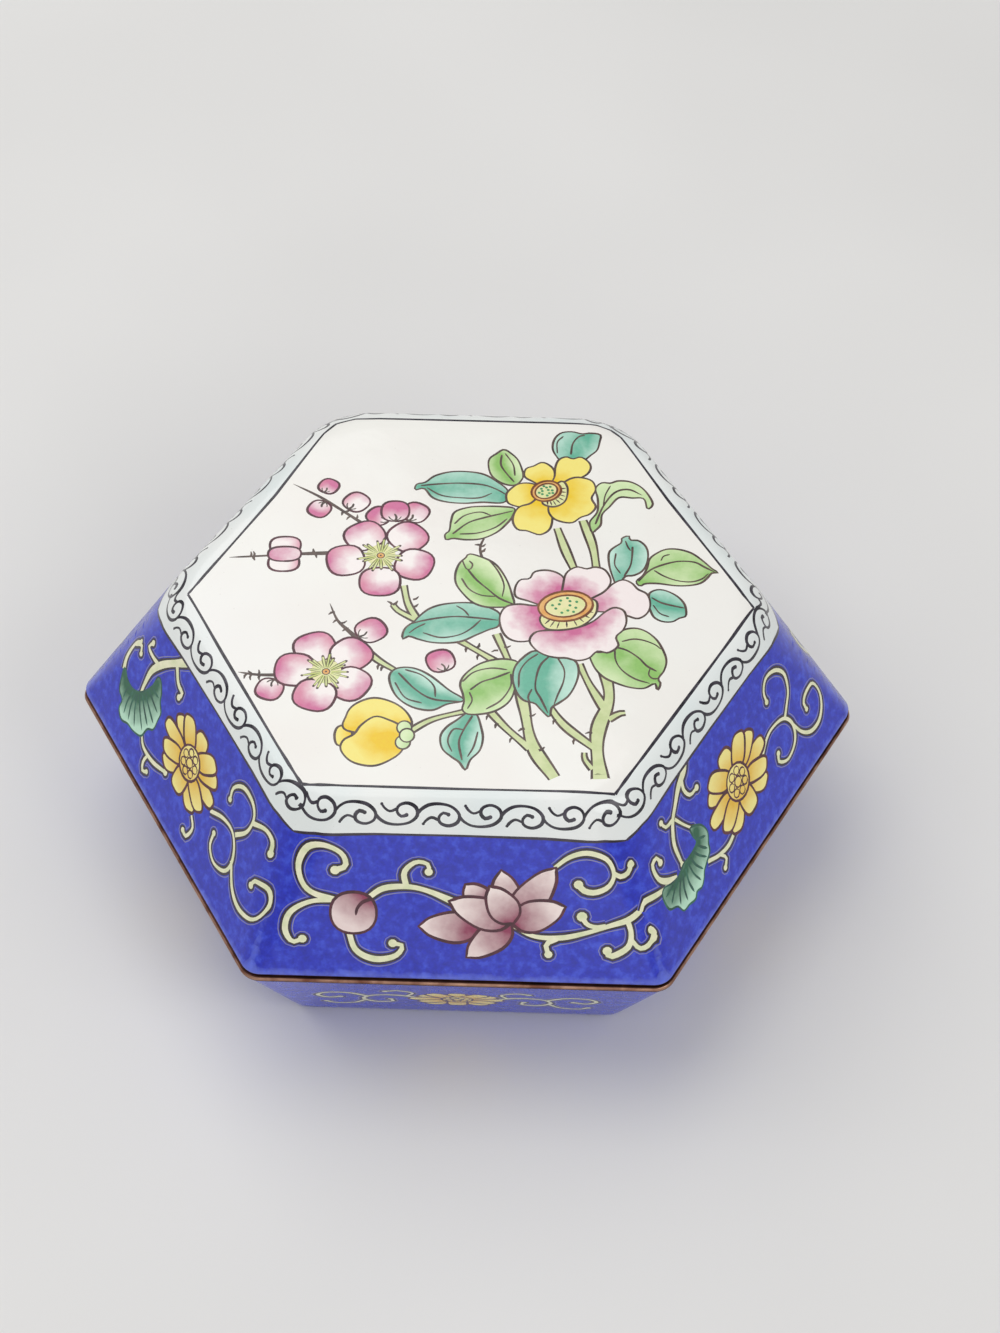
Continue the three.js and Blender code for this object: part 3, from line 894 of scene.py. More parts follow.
# The leaves of the picture, back ones first: enamel, outline and ribs, in millimetres.
LEAVES = (
    (
        "teal_leaf",
        ((5, 19.7), (3.5, 21.5), (1.5, 23), (-0.8, 23.5), (-3.4, 23.4), (-5.7, 22.5), (-7.1, 21.1),
         (-8.3, 20.7), (-8.5, 19.5), (-7.2, 19.8), (-5.9, 18), (-3.9, 17.2), (-1.3, 17), (1.3, 17.3),
         (4.5, 17.4)),
        (
            ((-7.7, 20.4), (-5.3, 20.8), (-2.1, 21.1), (1.2, 20.9), (3.2, 20.1), (5, 18.8)),
            ((-6.8, 20), (-4.6, 18.5), (-1.7, 18.1), (0.9, 18.2), (2.7, 19.2)),
        ),
    ),
    (
        "green_leaf",
        ((6, 16.2), (4.2, 16.5), (1.9, 16.5), (-0.6, 16.2), (-2.6, 15.2), (-3.1, 13.4), (-3.3, 11.4),
         (-3.9, 10.7), (-3.7, 9.6), (-2.7, 9.9), (-0.8, 9.7), (1.4, 10), (3.6, 11.4), (5.2, 13.5), (5.8, 14.8)),
        (
            ((-2.8, 10.8), (-0.6, 13.1), (1.7, 14.2), (3.9, 15), (5.8, 15.7)),
            ((-2.6, 12.8), (-1.2, 14.5), (1, 15.3), (2.6, 14.7)),
            ((-1.8, 10.8), (0.8, 11.1), (3.3, 12.3), (5, 14.1)),
        ),
    ),
    (
        "green_leaf",
        ((7.2, 22.7), (7, 24.3), (6.4, 26.2), (5.4, 27.5), (4.3, 28.3), (3.2, 27.4), (2.2, 26.3), (2.1, 24.6),
         (2.6, 22.8), (3.8, 21.5), (5.3, 20.9), (6.4, 21.2)),
        (
            ((4, 27.2), (3.9, 25.2), (4.6, 23.6), (5.9, 21.6)),
            ((4.5, 27.5), (5.7, 25.2), (6, 22.9)),
        ),
    ),
    (
        "teal_leaf",
        ((12, 27.3), (11.5, 28.9), (11.8, 30.8), (12.8, 32.1), (14.4, 32.4), (15.9, 32), (17.1, 32.2),
         (18.6, 31.9), (18.5, 30.5), (18.1, 28.7), (17.1, 27.5), (15.2, 25.5), (13.3, 25.5)),
        (
            ((14.2, 27.6), (14.5, 29.9), (15.4, 31.4), (16.3, 31.7)),
            ((12.2, 27.8), (12.2, 30.1), (13.1, 31.4)),
        ),
    ),
    (
        "teal_leaf",
        ((-0.4, -19.9), (-2.5, -18.2), (-5.2, -15.7), (-7.5, -14.5), (-9.7, -14.6), (-10.7, -15.9),
         (-10.3, -18.1), (-9.2, -20), (-7.2, -21.4), (-4.7, -21.8), (-2.7, -20.7)),
        (
            ((-9.5, -15.4), (-7, -18.3), (-4.5, -19.9), (-0.6, -20.2)),
            ((-8.6, -14.8), (-6.3, -15.7), (-4.6, -17.5), (-4.3, -19.5)),
            ((-9.9, -17.1), (-8.4, -19.7), (-6.1, -20.6)),
        ),
    ),
    (
        "teal_leaf",
        ((4.2, -4.3), (2.4, -3), (0.9, -2.5), (-1.2, -2.4), (-3.8, -2.8), (-5.7, -3.7), (-7.1, -5.2),
         (-7.7, -6.1), (-8.8, -7.2), (-9.2, -8.4), (-9.1, -9.3), (-8.3, -8.8), (-7, -9.3), (-5.3, -9.8),
         (-3.2, -9.9), (-1, -9.5), (1, -8.3), (2.7, -7.3), (4.1, -6.5)),
        (
            ((-8.4, -6.6), (-6.5, -5.9), (-4.1, -5.3), (-1.6, -5), (1.4, -5.2), (4, -5.5)),
            ((-6.4, -8.1), (-4, -8.9), (-1.5, -8.4), (0.2, -7.2), (1.6, -5.5)),
            ((-1.9, -3), (-0.8, -3.8), (-0.1, -4.8)),
            ((-8.3, -8.2), (-7.3, -7.2), (-6.1, -6.4)),
        ),
    ),
    (
        "green_leaf",
        ((6.2, -2.3), (5.9, -0.8), (5.2, 1.8), (4, 4.3), (2.7, 5.7), (0.7, 6.7), (-0.4, 6.9), (-0.8, 6.2),
         (-1.7, 5), (-2.2, 3), (-2, 1), (-0.8, -1), (0.5, -2.4), (2.2, -3.1), (3.9, -3.1), (5.6, -2.9)),
        (
            ((-0.5, 4), (0.8, 2), (2.4, 0.3), (4.1, -1.4), (6.2, -2.5)),
            ((2.3, 6.1), (3.8, 3.8), (4.7, 1.2), (4.5, -1.1)),
            ((-1.3, 2.2), (-0.2, 0.2), (1.5, -0.9), (3.5, -1.1)),
            ((-1.3, 5.7), (-0.7, 4.1), (-0.1, 4), (0.2, 4.9), (-0.3, 5.6)),
        ),
    ),
    (
        "teal_leaf",
        ((20.6, 1.7), (20, 3.6), (19.6, 5.7), (19.6, 7.9), (20.3, 9), (21.4, 10), (21.5, 10.9), (22.5, 11.4),
         (22.7, 10.6), (23.9, 10.5), (24.9, 9.4), (25.2, 7.8), (24.9, 5.9), (24.2, 4.5), (23, 3.7), (21.9, 3.5),
         (21.2, 2.3)),
        (
            ((23, 9.3), (22.9, 7.4), (22.6, 5.5), (21.7, 3.5)),
            ((22, 10.4), (22.3, 9.3), (22.7, 8.5)),
            ((20.6, 7.9), (20.4, 5.7), (21.2, 4)),
        ),
    ),
    (
        "green_leaf",
        ((23.4, 2.6), (24.4, 3.8), (25, 5.3), (25.4, 7), (26.5, 8.2), (27.9, 9), (29.7, 9), (31.5, 8.3),
         (33, 6.9), (34.2, 5.5), (35.1, 4.7), (34.2, 4.6), (33.5, 3.6), (32.5, 2.6), (30.9, 2.1), (28.9, 2),
         (26.5, 2.3), (24.7, 2.2), (23.9, 1.7)),
        (
            ((23.7, 2.6), (25.4, 4.8), (27.4, 6), (29.6, 6.7), (31.8, 6.6), (33.2, 5.7), (34.6, 4.8)),
            ((26, 4.8), (27.3, 3.8), (29.1, 3), (31.1, 2.8), (32.7, 3.4), (33.7, 4.5)),
            ((27, 6.7), (27.4, 7.6), (28.3, 8)),
        ),
    ),
    (
        "teal_leaf",
        ((25.1, -0.5), (25.3, 0.5), (26.3, 1.1), (27.5, 1), (29, 0.1), (30, -1.2), (30.3, -2.5), (30.2, -3.7),
         (29.3, -4.1), (28.3, -4.8), (26.9, -4.8), (25.8, -4.1), (25.3, -2.9), (25, -1.6)),
        (
            ((25.5, -0.4), (26.8, -1.3), (28.4, -1.8), (30.1, -2.2)),
            ((25.7, -1.8), (26.6, -3.3), (27.9, -3.9)),
        ),
    ),
    (
        "green_leaf",
        ((16.7, -10.9), (18.3, -10.8), (19.8, -10.1), (20.4, -9), (20.5, -7.5), (21.6, -6.5), (23.2, -6.2),
         (24.7, -6.8), (26.1, -8.3), (27, -10.4), (27.3, -12.1), (26.9, -13.8), (26.1, -15.2), (26.4, -16.1),
         (25.9, -17.3), (25.6, -16.1), (24.1, -17), (22.2, -16.9), (20.3, -16.2), (18.6, -15.2), (17.3, -13.4)),
        (
            ((20.2, -9.7), (21.9, -10.3), (23.5, -11.6), (24.6, -13), (25.9, -13.9)),
            ((21.2, -8.7), (22.8, -8.2), (24.3, -8.4), (25.8, -9.1), (26.6, -9.9)),
            ((20.2, -10.1), (20.3, -12.1), (21.1, -13.8), (22.8, -15.3), (24.9, -16.1)),
            ((25, -13.5), (24.8, -14.5), (25.3, -15.2), (26.1, -15.2)),
        ),
    ),
    (
        "teal_leaf",
        ((-0.5, -22.6), (-1.3, -23.4), (-2.6, -24.6), (-3.4, -26.2), (-3.1, -28.3), (-1.8, -29.7),
         (-0.8, -30.5), (0.1, -31.8), (0.7, -30.1), (1.9, -28.5), (2.3, -26.4), (2, -24.4), (1.4, -22.4),
         (0.4, -21.9)),
        (
            ((0.8, -22.6), (-0.3, -25), (-0.9, -27.2), (-0.4, -30.2)),
            ((-0.3, -25), (-1.7, -25), (-2.4, -26.9), (-1.8, -28.8)),
            ((1.6, -25.3), (1.1, -27.8), (0.3, -29.6)),
        ),
    ),
    (
        "green_leaf",
        ((6.8, -13), (4.9, -12.5), (2.8, -12.9), (1, -13.9), (-0.5, -15.6), (-1, -17.2), (-0.6, -18.8),
         (-0.4, -20.2), (-0.6, -21.5), (0.1, -22.3), (1.8, -22.3), (3.8, -21.7), (5.5, -20.3), (6.3, -18.6),
         (6.6, -16.4), (6.3, -14.5)),
        (
            ((0.4, -18.1), (1.9, -16.7), (3.7, -15.9), (5.8, -14.8)),
            ((-0.7, -16.7), (0.8, -15), (3.1, -14.2), (5.4, -14.4)),
            ((5.9, -15.1), (5.9, -17.3), (4.6, -19.8), (2.6, -21.4)),
            ((0.3, -18.5), (0.7, -19.9), (0.1, -21.4)),
        ),
    ),
    (
        "teal_leaf",
        ((9.1, -10.9), (7.5, -12.2), (6.4, -14), (6.2, -16.2), (6.7, -18.3), (7.7, -19.7), (9.2, -20.2),
         (10, -21.2), (11.2, -22.5), (11.5, -20.9), (12.5, -20), (13.8, -18.7), (14.8, -16.5), (15.2, -14.3),
         (14.8, -12.6), (13.4, -11.8), (11.5, -11.3)),
        (
            ((11.3, -11.6), (10, -13.3), (9.4, -15.5), (9.3, -17.7), (10, -19.3), (11, -21.8)),
            ((12.3, -12), (13.2, -14.1), (13.1, -16.2), (12.3, -18.7), (11.8, -20.4)),
            ((9.6, -11.4), (8.1, -12.8), (7.1, -14.8), (7, -17.5)),
            ((8.8, -17.7), (8.3, -19.1), (8.6, -20.2)),
        ),
    ),
)


def stems(pen, line):
    """Thorny stems from the front edge, and dark twigs."""
    branches(
        pen,
        [
            ([(7.0, -16.5), (7.8, -21.0), (9.0, -27.5), (11.9, -32.8)], 1.0, 1.5),
            ([(2.6, -21.0), (5.4, -24.6), (8.6, -27.9)], 0.6, 0.9),
            ([(18.8, -14.0), (19.3, -19.0), (17.9, -24.0), (17.6, -27.6), (18.0, -32.8)], 1.2, 1.7),
            ([(15.3, -13.0), (16.6, -16.5), (18.6, -20.6)], 0.6, 0.9),
            ([(10.4, -19.0), (13.0, -23.6), (17.2, -27.6)], 0.6, 0.9),
            ([(12.2, 12.5), (13.4, 8.2), (14.8, 4.0)], 0.8, 0.8),
            ([(15.9, 14.2), (17.3, 9.0), (17.9, 3.5)], 0.8, 0.9),
            ([(-7.9, -25.8), (-4.6, -23.4), (0.6, -21.6)], 0.5, 0.5),
            ([(3.8, -8.0), (5.6, -13.0), (7.0, -17.0)], 0.6, 0.8),
            ([(-1.4, -9.3), (2.4, -12.0), (6.2, -14.8)], 0.6, 0.7),
            ([(-9.4, 0.6), (-8.6, -3.0), (-6.8, -6.6)], 0.7, 0.6),
            ([(-10.8, -3.0), (-9.9, -4.2), (-7.4, -5.8)], 0.6, 0.5),
            ([(-15.6, -9.8), (-12.6, -13.0), (-9.6, -15.2)], 0.6, 0.5),
            ([(19.2, -22.6), (20.6, -21.6), (21.5, -21.4)], 0.7, 0.3),
            ([(17.0, -31.2), (16.0, -29.6), (15.9, -28.4)], 0.5, 0.3),
        ],
        line,
    )
    spurs(
        pen,
        (
            (-0.2, -10.6, 240), (1.4, -11.9, 240), (1.2, -10.6, 50), (5.0, -10.4, 0), (4.0, -11.0, 180),
            (4.2, -23.8, 230), (6.2, -26.2, 230), (8.6, -22.4, 10), (9.9, -28.2, 20), (7.8, -24.6, 190),
            (12.0, -22.9, 230), (14.6, -26.2, 240), (16.9, -25.0, 170), (5.9, -14.4, 20), (3.0, -22.4, 230),
            (-7.9, -2.0, 20), (-7.9, -3.4, 20), (-10.9, -3.0, 120), (-10.7, -3.0, 30), (-12.2, -14.0, 240),
            (-11.6, -14.3, 230),
        ),
        line,
    )
    twig(pen, [(-20.5, 6.6), (-25.0, 6.3), (-30.0, 5.8), (-34.4, 5.4)], line,
         [(-30.9, 5.8, 80), (-30.9, 5.8, 260), (-22.6, 6.5, 70), (-22.0, 6.5, 250), (-31.4, 5.7, 70)])
    twig(pen, [(-15.4, 12.2), (-19.2, 15.3), (-22.4, 17.8), (-26.3, 20.2)], line,
         [(-18.4, 14.8, 20), (-17.6, 13.9, 210), (-16.8, 13.4, 60), (-18.6, 14.9, 230)])
    twig(pen, [(-15.2, -9.6), (-16.9, -7.8), (-18.4, -6.0), (-19.6, -3.0)], line,
         [(-18.9, -4.6, 190), (-18.3, -6.0, 200), (-16.8, -7.6, 190), (-17.8, -6.6, 10)])
    twig(pen, [(-24.6, -16.1), (-28.6, -16.2), (-31.4, -15.8)], line,
         [(-29.6, -16.3, 100), (-29.6, -16.3, 250), (-28.4, -16.3, 250), (-28.6, -16.2, 70), (-30.2, -16.1, 230)])
    twig(pen, [(2.4, 3.6), (1.2, 7.8), (1.9, 10.6)], line, [(1.3, 8.6, 150), (1.3, 8.4, 20), (1.4, 7.4, 30)])


def leaves(pen, line):
    """The leaves of the table, and one folded leaf at the top right."""
    for paint, edge, ribs in LEAVES:
        leaf(pen, paint, edge, ribs, line)
    edge = [(17.8, 12.4), (17.2, 11.9), (16.9, 13.9), (18.0, 16.0), (18.1, 18.6), (17.8, 20.7), (18.7, 21.9),
            (20.0, 21.9), (21.1, 22.4), (22.8, 22.3), (24.3, 21.4), (25.4, 19.9), (26.1, 17.9), (25.3, 16.9),
            (24.8, 18.9), (23.1, 19.0), (21.2, 19.0), (19.8, 17.1), (18.7, 15.5), (18.5, 13.5)]
    outlined(pen, smooth(edge, 0.4, closed=True), "green_leaf", line, lambda x, y: (x * 0, 0.3 + 0.05 * (21 - y)))
    pen.line(smooth([(17.7, 13.5), (18.9, 17.2), (20.6, 20.0), (22.6, 20.7),
                     (24.6, 19.6)], 0.5), line, ends=(0.6, 0.3))
    pen.line(smooth([(18.9, 17.2), (19.2, 19.4), (20.0, 21.4)], 0.5), line * 0.8, ends=(0.6, 0.3))


def camellias(pen, line):
    """A yellow one, and a larger pink one in front of it."""
    lobed_flower(
        pen,
        [
            ([(8.6, 21.8), (7.4, 22.8), (7.6, 24.4), (8.7, 25.0), (9.9, 25.8), (11.0, 25.3), (11.8, 24.0),
              (11.6, 22.0), (10.6, 20.6)], 5.0),
            ([(11.2, 21.0), (11.8, 22.9), (11.9, 24.8), (12.4, 26.4), (13.5, 27.1), (14.5, 26.7), (15.7, 27.1),
              (16.9, 26.0), (17.1, 24.7), (16.4, 23.4), (14.6, 22.2), (12.6, 21.0)], 6.4),
            ([(9.6, 20.6), (8.4, 21.4), (6.7, 21.3), (5.6, 20.4), (4.8, 19.1), (5.0, 17.4), (6.1, 16.7),
              (7.2, 16.6), (8.6, 17.4), (10.0, 18.8)], 5.4),
            ([(6.8, 16.6), (8.3, 17.3), (9.8, 18.8), (11.2, 17.4), (11.5, 14.4), (11.1, 12.2), (9.8, 11.1),
              (8.7, 11.4), (7.8, 11.8), (6.5, 12.0), (5.8, 13.5), (6.0, 15.3)], 8.2),
            ([(11.6, 19.8), (13.2, 21.8), (14.6, 22.8), (16.1, 22.8), (17.4, 22.1), (17.8, 20.4), (17.2, 18.7),
              (17.8, 17.0), (16.9, 15.5), (15.6, 14.8), (14.4, 13.7), (12.8, 13.8), (11.5, 14.6),
              (10.9, 16.4)], 7.2),
        ],
        "yellow_petal", line, (10.8, 19.8),
    )
    ringed_eye(pen.at(10.6, 19.9), 2.3, 1.95, 40, line,
               [(-0.6, -2.2), (0.4, -3.1), (1.6, -3.0), (2.7, -2.0), (3.1, -0.4), (3.0, 1.2), (2.2, 2.1),
                (0.6, 0.4)])
    lobed_flower(
        pen,
        [
            ([(10.6, -2.6), (8.0, -1.7), (6.4, -1.0), (6.3, 0.7), (7.0, 2.2), (8.3, 2.5), (9.0, 3.8), (10.7, 4.2),
              (12.3, 3.7), (13.2, 2.6), (13.4, 0.2), (13.2, -2.0)], 8.4),
            ([(13.0, -1.6), (13.1, 1.9), (13.6, 3.9), (15.0, 5.0), (16.4, 4.7), (17.6, 5.1), (19.0, 4.6),
              (19.8, 2.7), (19.2, 0.9), (17.4, -1.0), (15.4, -2.2)], 8.0),
            ([(16.0, -1.8), (18.6, 0.2), (20.0, 1.9), (21.5, 2.8), (22.8, 2.2), (23.6, 1.1), (24.9, 0.2),
              (25.3, -1.7), (24.8, -3.4), (23.5, -4.4), (21.9, -3.9), (20.0, -3.4), (16.6, -3.2)], 11.0),
            ([(11.4, -2.6), (9.0, -2.6), (6.8, -2.4), (5.0, -3.0), (4.2, -4.9), (4.5, -7.2), (5.4, -8.7),
              (6.9, -9.3), (8.8, -8.9), (10.2, -7.4), (12.0, -5.6)], 9.4),
            ([(9.4, -7.4), (12.2, -7.0), (15.0, -6.4), (17.2, -5.2), (19.0, -3.3), (20.3, -2.5), (21.6, -3.1),
              (21.9, -5.0), (21.4, -6.6), (20.4, -7.9), (20.7, -9.5), (19.3, -10.8), (17.8, -10.6),
              (16.6, -11.9), (15.0, -12.4), (13.5, -12.0), (12.2, -12.0), (10.6, -11.6), (9.2, -10.6),
              (8.4, -9.0)], 9.0),
        ],
        "camellia_petal", line, (13.4, -3.2),
    )
    ringed_eye(pen.at(13.4, -2.5), 3.9, 2.75, 14, line,
               [(-3.4, -1.9), (-3.0, -4.0), (-1.2, -4.5), (1.6, -3.9), (3.4, -2.5), (4.4, -0.6), (3.9, 1.4),
                (0.0, 0.6)])


def yellow_bud(pen, line):
    """A half open bud with three petals and three green sepals."""
    outlined(pen, smooth([(-15.7, -24.9), (-17.2, -25.0), (-17.6, -26.6), (-17.0, -28.2), (-15.2, -27.4)], 0.4,
             closed=True), "yellow_petal", line, lambda x, y: (x * 0, 0.6 - 0.3 * (x + 16)))
    outlined(pen, smooth([(-16.0, -25.6), (-16.2, -23.0), (-15.2, -21.1), (-12.8, -19.9), (-10.2, -20.5),
                          (-8.2, -22.1),
             (-7.3, -24.4),
             (-8.9, -26.4)], 0.5, closed=True), "yellow_petal", line, lambda x, y: (x * 0, (y + 27) / 5.6))
    outlined(pen, smooth([(-15.0, -26.2), (-14.1, -24.6), (-12.3, -23.1), (-10.3, -23.7), (-8.9, -24.6),
                          (-8.0, -26.5),
             (-8.4, -28.7), (-9.8, -30.3), (-12.2, -31.5), (-15.0, -30.9), (-16.6, -29.0), (-16.4, -27.3)], 0.5,
             closed=True), "yellow_petal", line, lambda x, y: (x * 0, np.hypot(x + 10.6, (y + 27.4) * 1.3) / 5.2))
    for x, y in ((-8.3, -24.9), (-8.4, -27.4), (-7.9, -26.2)):
        outlined(pen.at(x, y, 0, 1.0, 1.15), circle(), "green_leaf", line * 0.8, lambda x, y: (x, 0.3 + 0.3 * x))


def plum_spray(pen, line):
    """Plum blossoms and their buds."""
    for x, y, radius, foot, depth in (
        (-21.1, 19.9, 1.65, 240, 0.55), (-22.2, 15.3, 1.85, 60, 0.6), (-16.9, 16.8, 2.1, 230, 0.1),
        (-13.6, -7.8, 2.4, 215, 0.5), (-26.9, -18.7, 2.1, 70, 0.5), (-3.8, -13.1, 2.2, 290, 0.5),
        (-13.5, 14.1, 2.0, 320, 0.6), (-8.3, 14.9, 2.2, 240, 0.3), (-11.2, 15.1, 2.3, 270, 0.7),
    ):
        bud(pen.at(x, y), radius, line, foot, depth)
    plum_blossom(pen.at(-12.9, 6.3), [(-2.6, 4.0), (3.9, 3.9), (5.1, -1.7), (0.1, -5.3), (-5.2, -1.1)], line)
    plum_blossom(pen.at(-19.4, -15.4), [(-1.9, 4.5), (-4.6, 0.3), (3.5, 3.4), (3.6, -2.2), (-1.4, -4.4)], line)
    for y, high in ((1.7, 1.7), (-1.7, 1.7)):
        outlined(pen.at(-26.6, 6.3 + y, 2, 2.25, high), round_petal(), "plum_petal", line * 1.1,
                 lambda x, z: (x, 0.35 + 0.25 * z), "maroon_line")
    outlined(pen.at(-26.6, 6.3, 2, 2.4, 1.45), round_petal(), "plum_petal", line * 1.1,
             lambda x, z: (x * 0.5, 0.75 - 0.2 * x), "maroon_line")


def picture(pen, line):
    """Plum blossom on the left, camellias on the right, the back ones first."""
    for part in (stems, leaves, camellias, yellow_bud, plum_spray):
        part(pen, line)


# The scroll border

CURLS = 8  # on each side
CURL_WIDTH = 5.45  # of one curl as it is drawn, in mm
BORDER_HALF = 22.2  # half the length of the scrolls on a side, in mm


def scroll_curl(pen, line):
    """One curl of the running scroll: an arch that winds into a spiral, and a small hooked tail."""
    arch = [(-2.85, 0.05), (-2.3, 0.75), (-1.3, 1.35), (0.1, 1.5), (1.6, 1.15), (2.6, 0.15), (2.4, -0.95),
            (1.3, -1.5), (0.2, -1.15), (-0.05, -0.35), (0.5, 0.3), (1.25, 0.1)]
    pen.line(smooth(arch, 0.38), (line * 1.3, line * 1.5), "scroll_line", ends=(0.9, 0.9))
    pen.dot(1.2, 0.1, line * 0.9, "scroll_line", corners=8)
    pen.line(smooth([(0.1, -0.8), (-0.9, -0.35), (-1.6, -0.7), (-2.1, -1.35)], 0.3), line * 1.2, "scroll_line")
    pen.dot(-2.05, -1.3, line * 0.7, "scroll_line", corners=8)


def scroll_side(pen, half, middle, line):
    """Curls along one side of the border, turned up and down in turn."""
    pitch = 2 * half / CURLS
    for i in range(CURLS):
        own = pen.at(-half + pitch * (i + 0.5), middle, 0, pitch / CURL_WIDTH, 1.0 if i % 2 else -1.0)
        scroll_curl(own, line)


# The sides


def lotus_side(pen, line):
    """Peach, lotus and leaf on one long tendril."""
    vines(
        pen,
        [
            ([(-12.2, 12.0), (-10.2, 13.4), (-7.1, 13.7), (-4.3, 13.1), (-0.5, 11.4)], 0.7, 0.9),
            ([(-7.2, 13.6), (-7.5, 15.8), (-6.0, 17.3), (-4.4, 17.0), (-4.3, 15.9)], 0.7, 0.65),
            ([(-16.4, 11.4), (-20.1, 12.9), (-21.7, 16.0), (-20.6, 18.8), (-18.2, 19.5), (-15.8, 18.4),
              (-15.2, 16.6), (-16.6, 15.9)], 0.9, 0.75),
            ([(-16.8, 11.6), (-20.0, 11.2), (-22.6, 9.6), (-23.3, 7.2), (-22.4, 5.3), (-21.0, 5.7)], 0.8, 0.7),
            ([(-14.9, 7.2), (-13.9, 4.2), (-11.4, 2.9), (-8.7, 3.4), (-7.7, 4.9), (-9.0, 5.3)], 0.9, 0.7),
            ([(12.2, 16.9), (14.2, 18.5), (16.6, 19.1), (19.2, 18.1), (20.2, 16.0), (19.4, 14.3), (17.7, 13.4),
              (16.2, 13.6), (15.4, 14.5)], 0.6, 0.75),
            ([(20.2, 16.1), (21.2, 15.5), (22.4, 15.8), (22.8, 16.7)], 0.6, 0.65),
            ([(24.1, 10.4), (23.0, 9.8), (21.6, 9.2), (19.9, 8.6), (16.6, 7.4), (13.2, 6.6), (9.6, 6.8),
              (6.8, 8.3)], 0.8, 0.6),
            ([(12.8, 6.5), (11.4, 5.6), (11.7, 4.1)], 0.7, 0.65),
            ([(19.2, 8.5), (17.9, 8.3), (16.7, 8.7), (16.0, 9.8)], 0.6, 0.85),
            ([(22.0, 9.6), (22.6, 7.6), (22.4, 5.7), (21.3, 4.6), (19.9, 4.0), (19.5, 4.8)], 0.9, 0.75),
            ([(22.7, 6.5), (23.8, 5.3), (25.3, 5.6), (26.1, 6.7), (25.8, 7.5)], 0.7, 0.75),
        ],
        line,
    )
    foot = (6.7, 8.6)
    lotus(
        pen,
        [
            ((3.4, 11.0), (0.5, 14.2), 3.6), (foot, (5.2, 16.4), 4.4), (foot, (12.4, 16.9), 4.6),
            ((2.6, 7.8), (-5.6, 7.9), 4.6), (foot, (13.8, 11.2), 4.6), (foot, (0.8, 3.4), 4.2),
            (foot, (-1.6, 11.7), 4.6), ((7.0, 8.6), (3.7, 14.0), 4.2),
        ],
        line,
    )
    peach(pen.at(-14.2, 9.7), 3.1, line)


def flower_side_left(pen, line):
    """Leaf, forked stem, chrysanthemum and three scrolls."""
    vines(
        pen,
        [
            ([(-21.9, 9.7), (-22.8, 11.7), (-22.6, 14.2), (-21.5, 15.4)], 0.8, 0.5),
            ([(-22.5, 14.1), (-20.9, 15.3), (-20.0, 14.4)], 0.5, 0.5),
            ([(-9.4, 22.6), (-11.2, 20.6), (-14.5, 17.3), (-16.2, 14.6), (-16.4, 11.9), (-16.2, 9.6)], 1.5, 0.6),
            ([(-15.5, 16.3), (-17.6, 16.2), (-19.1, 16.6), (-18.6, 17.7)], 0.7, 0.55),
            ([(-11.8, 19.4), (-10.0, 17.8), (-8.3, 17.4), (-8.6, 16.4)], 0.8, 0.55),
            ([(-12.2, 5.9), (-10.6, 4.8), (-7.5, 4.9), (-4.1, 6.1)], 0.5, 0.6),
            ([(-9.0, 4.8), (-9.3, 3.2), (-8.6, 2.1), (-7.7, 2.7)], 0.5, 0.45),
            ([(7.6, 10.1), (10.6, 11.6), (13.3, 11.8), (15.2, 10.3), (16.1, 8.1), (15.4, 6.2), (12.9, 5.3),
              (10.8, 6.4), (10.3, 8.4)], 0.5, 0.5),
            ([(14.1, 11.9), (15.8, 14.2), (15.8, 16.8), (14.1, 18.2), (11.3, 18.2), (9.6, 16.5),
              (10.0, 14.7)], 0.6, 0.5),
            ([(16.0, 16.1), (18.8, 17.6), (20.9, 17.2), (21.7, 15.6)], 0.7, 0.7),
            ([(15.8, 8.6), (18.6, 5.8), (21.7, 5.0), (25.0, 6.5), (25.9, 9.5), (24.4, 11.3), (21.7, 10.7),
              (21.3, 9.5)],
             0.6, 0.6),
            ([(4.7, 6.3), (6.1, 5.1), (5.6, 3.1), (4.5, 3.2)], 0.5, 0.5),
        ],
        line,
    )
    ruffled_leaf(
        pen,
        [(-21.9, 10.0), (-21.4, 7.8), (-20.7, 6.5), (-19.3, 6.0), (-19.1, 4.5), (-17.6, 3.7), (-15.9, 4.4),
         (-14.3, 4.6), (-12.2, 5.5), (-11.6, 7.4), (-10.4, 8.5), (-10.4, 10.3), (-10.5, 11.6), (-11.7, 12.7),
         (-12.3, 13.9), (-13.6, 15.1), (-14.5, 14.8), (-14.7, 12.9), (-16.1, 10.5), (-18.1, 9.2), (-20.2, 9.2)],
        [(-20.8, 9.2), (-19.0, 8.4), (-16.6, 9.2), (-14.8, 11.6), (-14.0, 13.7)],
        [((-19.1, 8.8), (-19.3, 6.4)), ((-17.9, 8.9), (-17.7, 4.8)), ((-17.2, 9.1), (-16.2, 4.9)),
         ((-16.8, 9.4), (-14.4, 5.3)), ((-16.4, 9.8), (-12.5, 6.3)), ((-15.9, 10.3), (-11.9, 7.8)),
         ((-15.4, 11.0), (-11.0, 9.1)), ((-14.9, 11.9), (-11.2, 11.0)), ((-14.5, 12.7), (-12.3, 12.8))],
        5.0, line,
    )
    chrysanthemum(pen.at(-0.5, 11.4), 8.1, 5.7, line, -4)


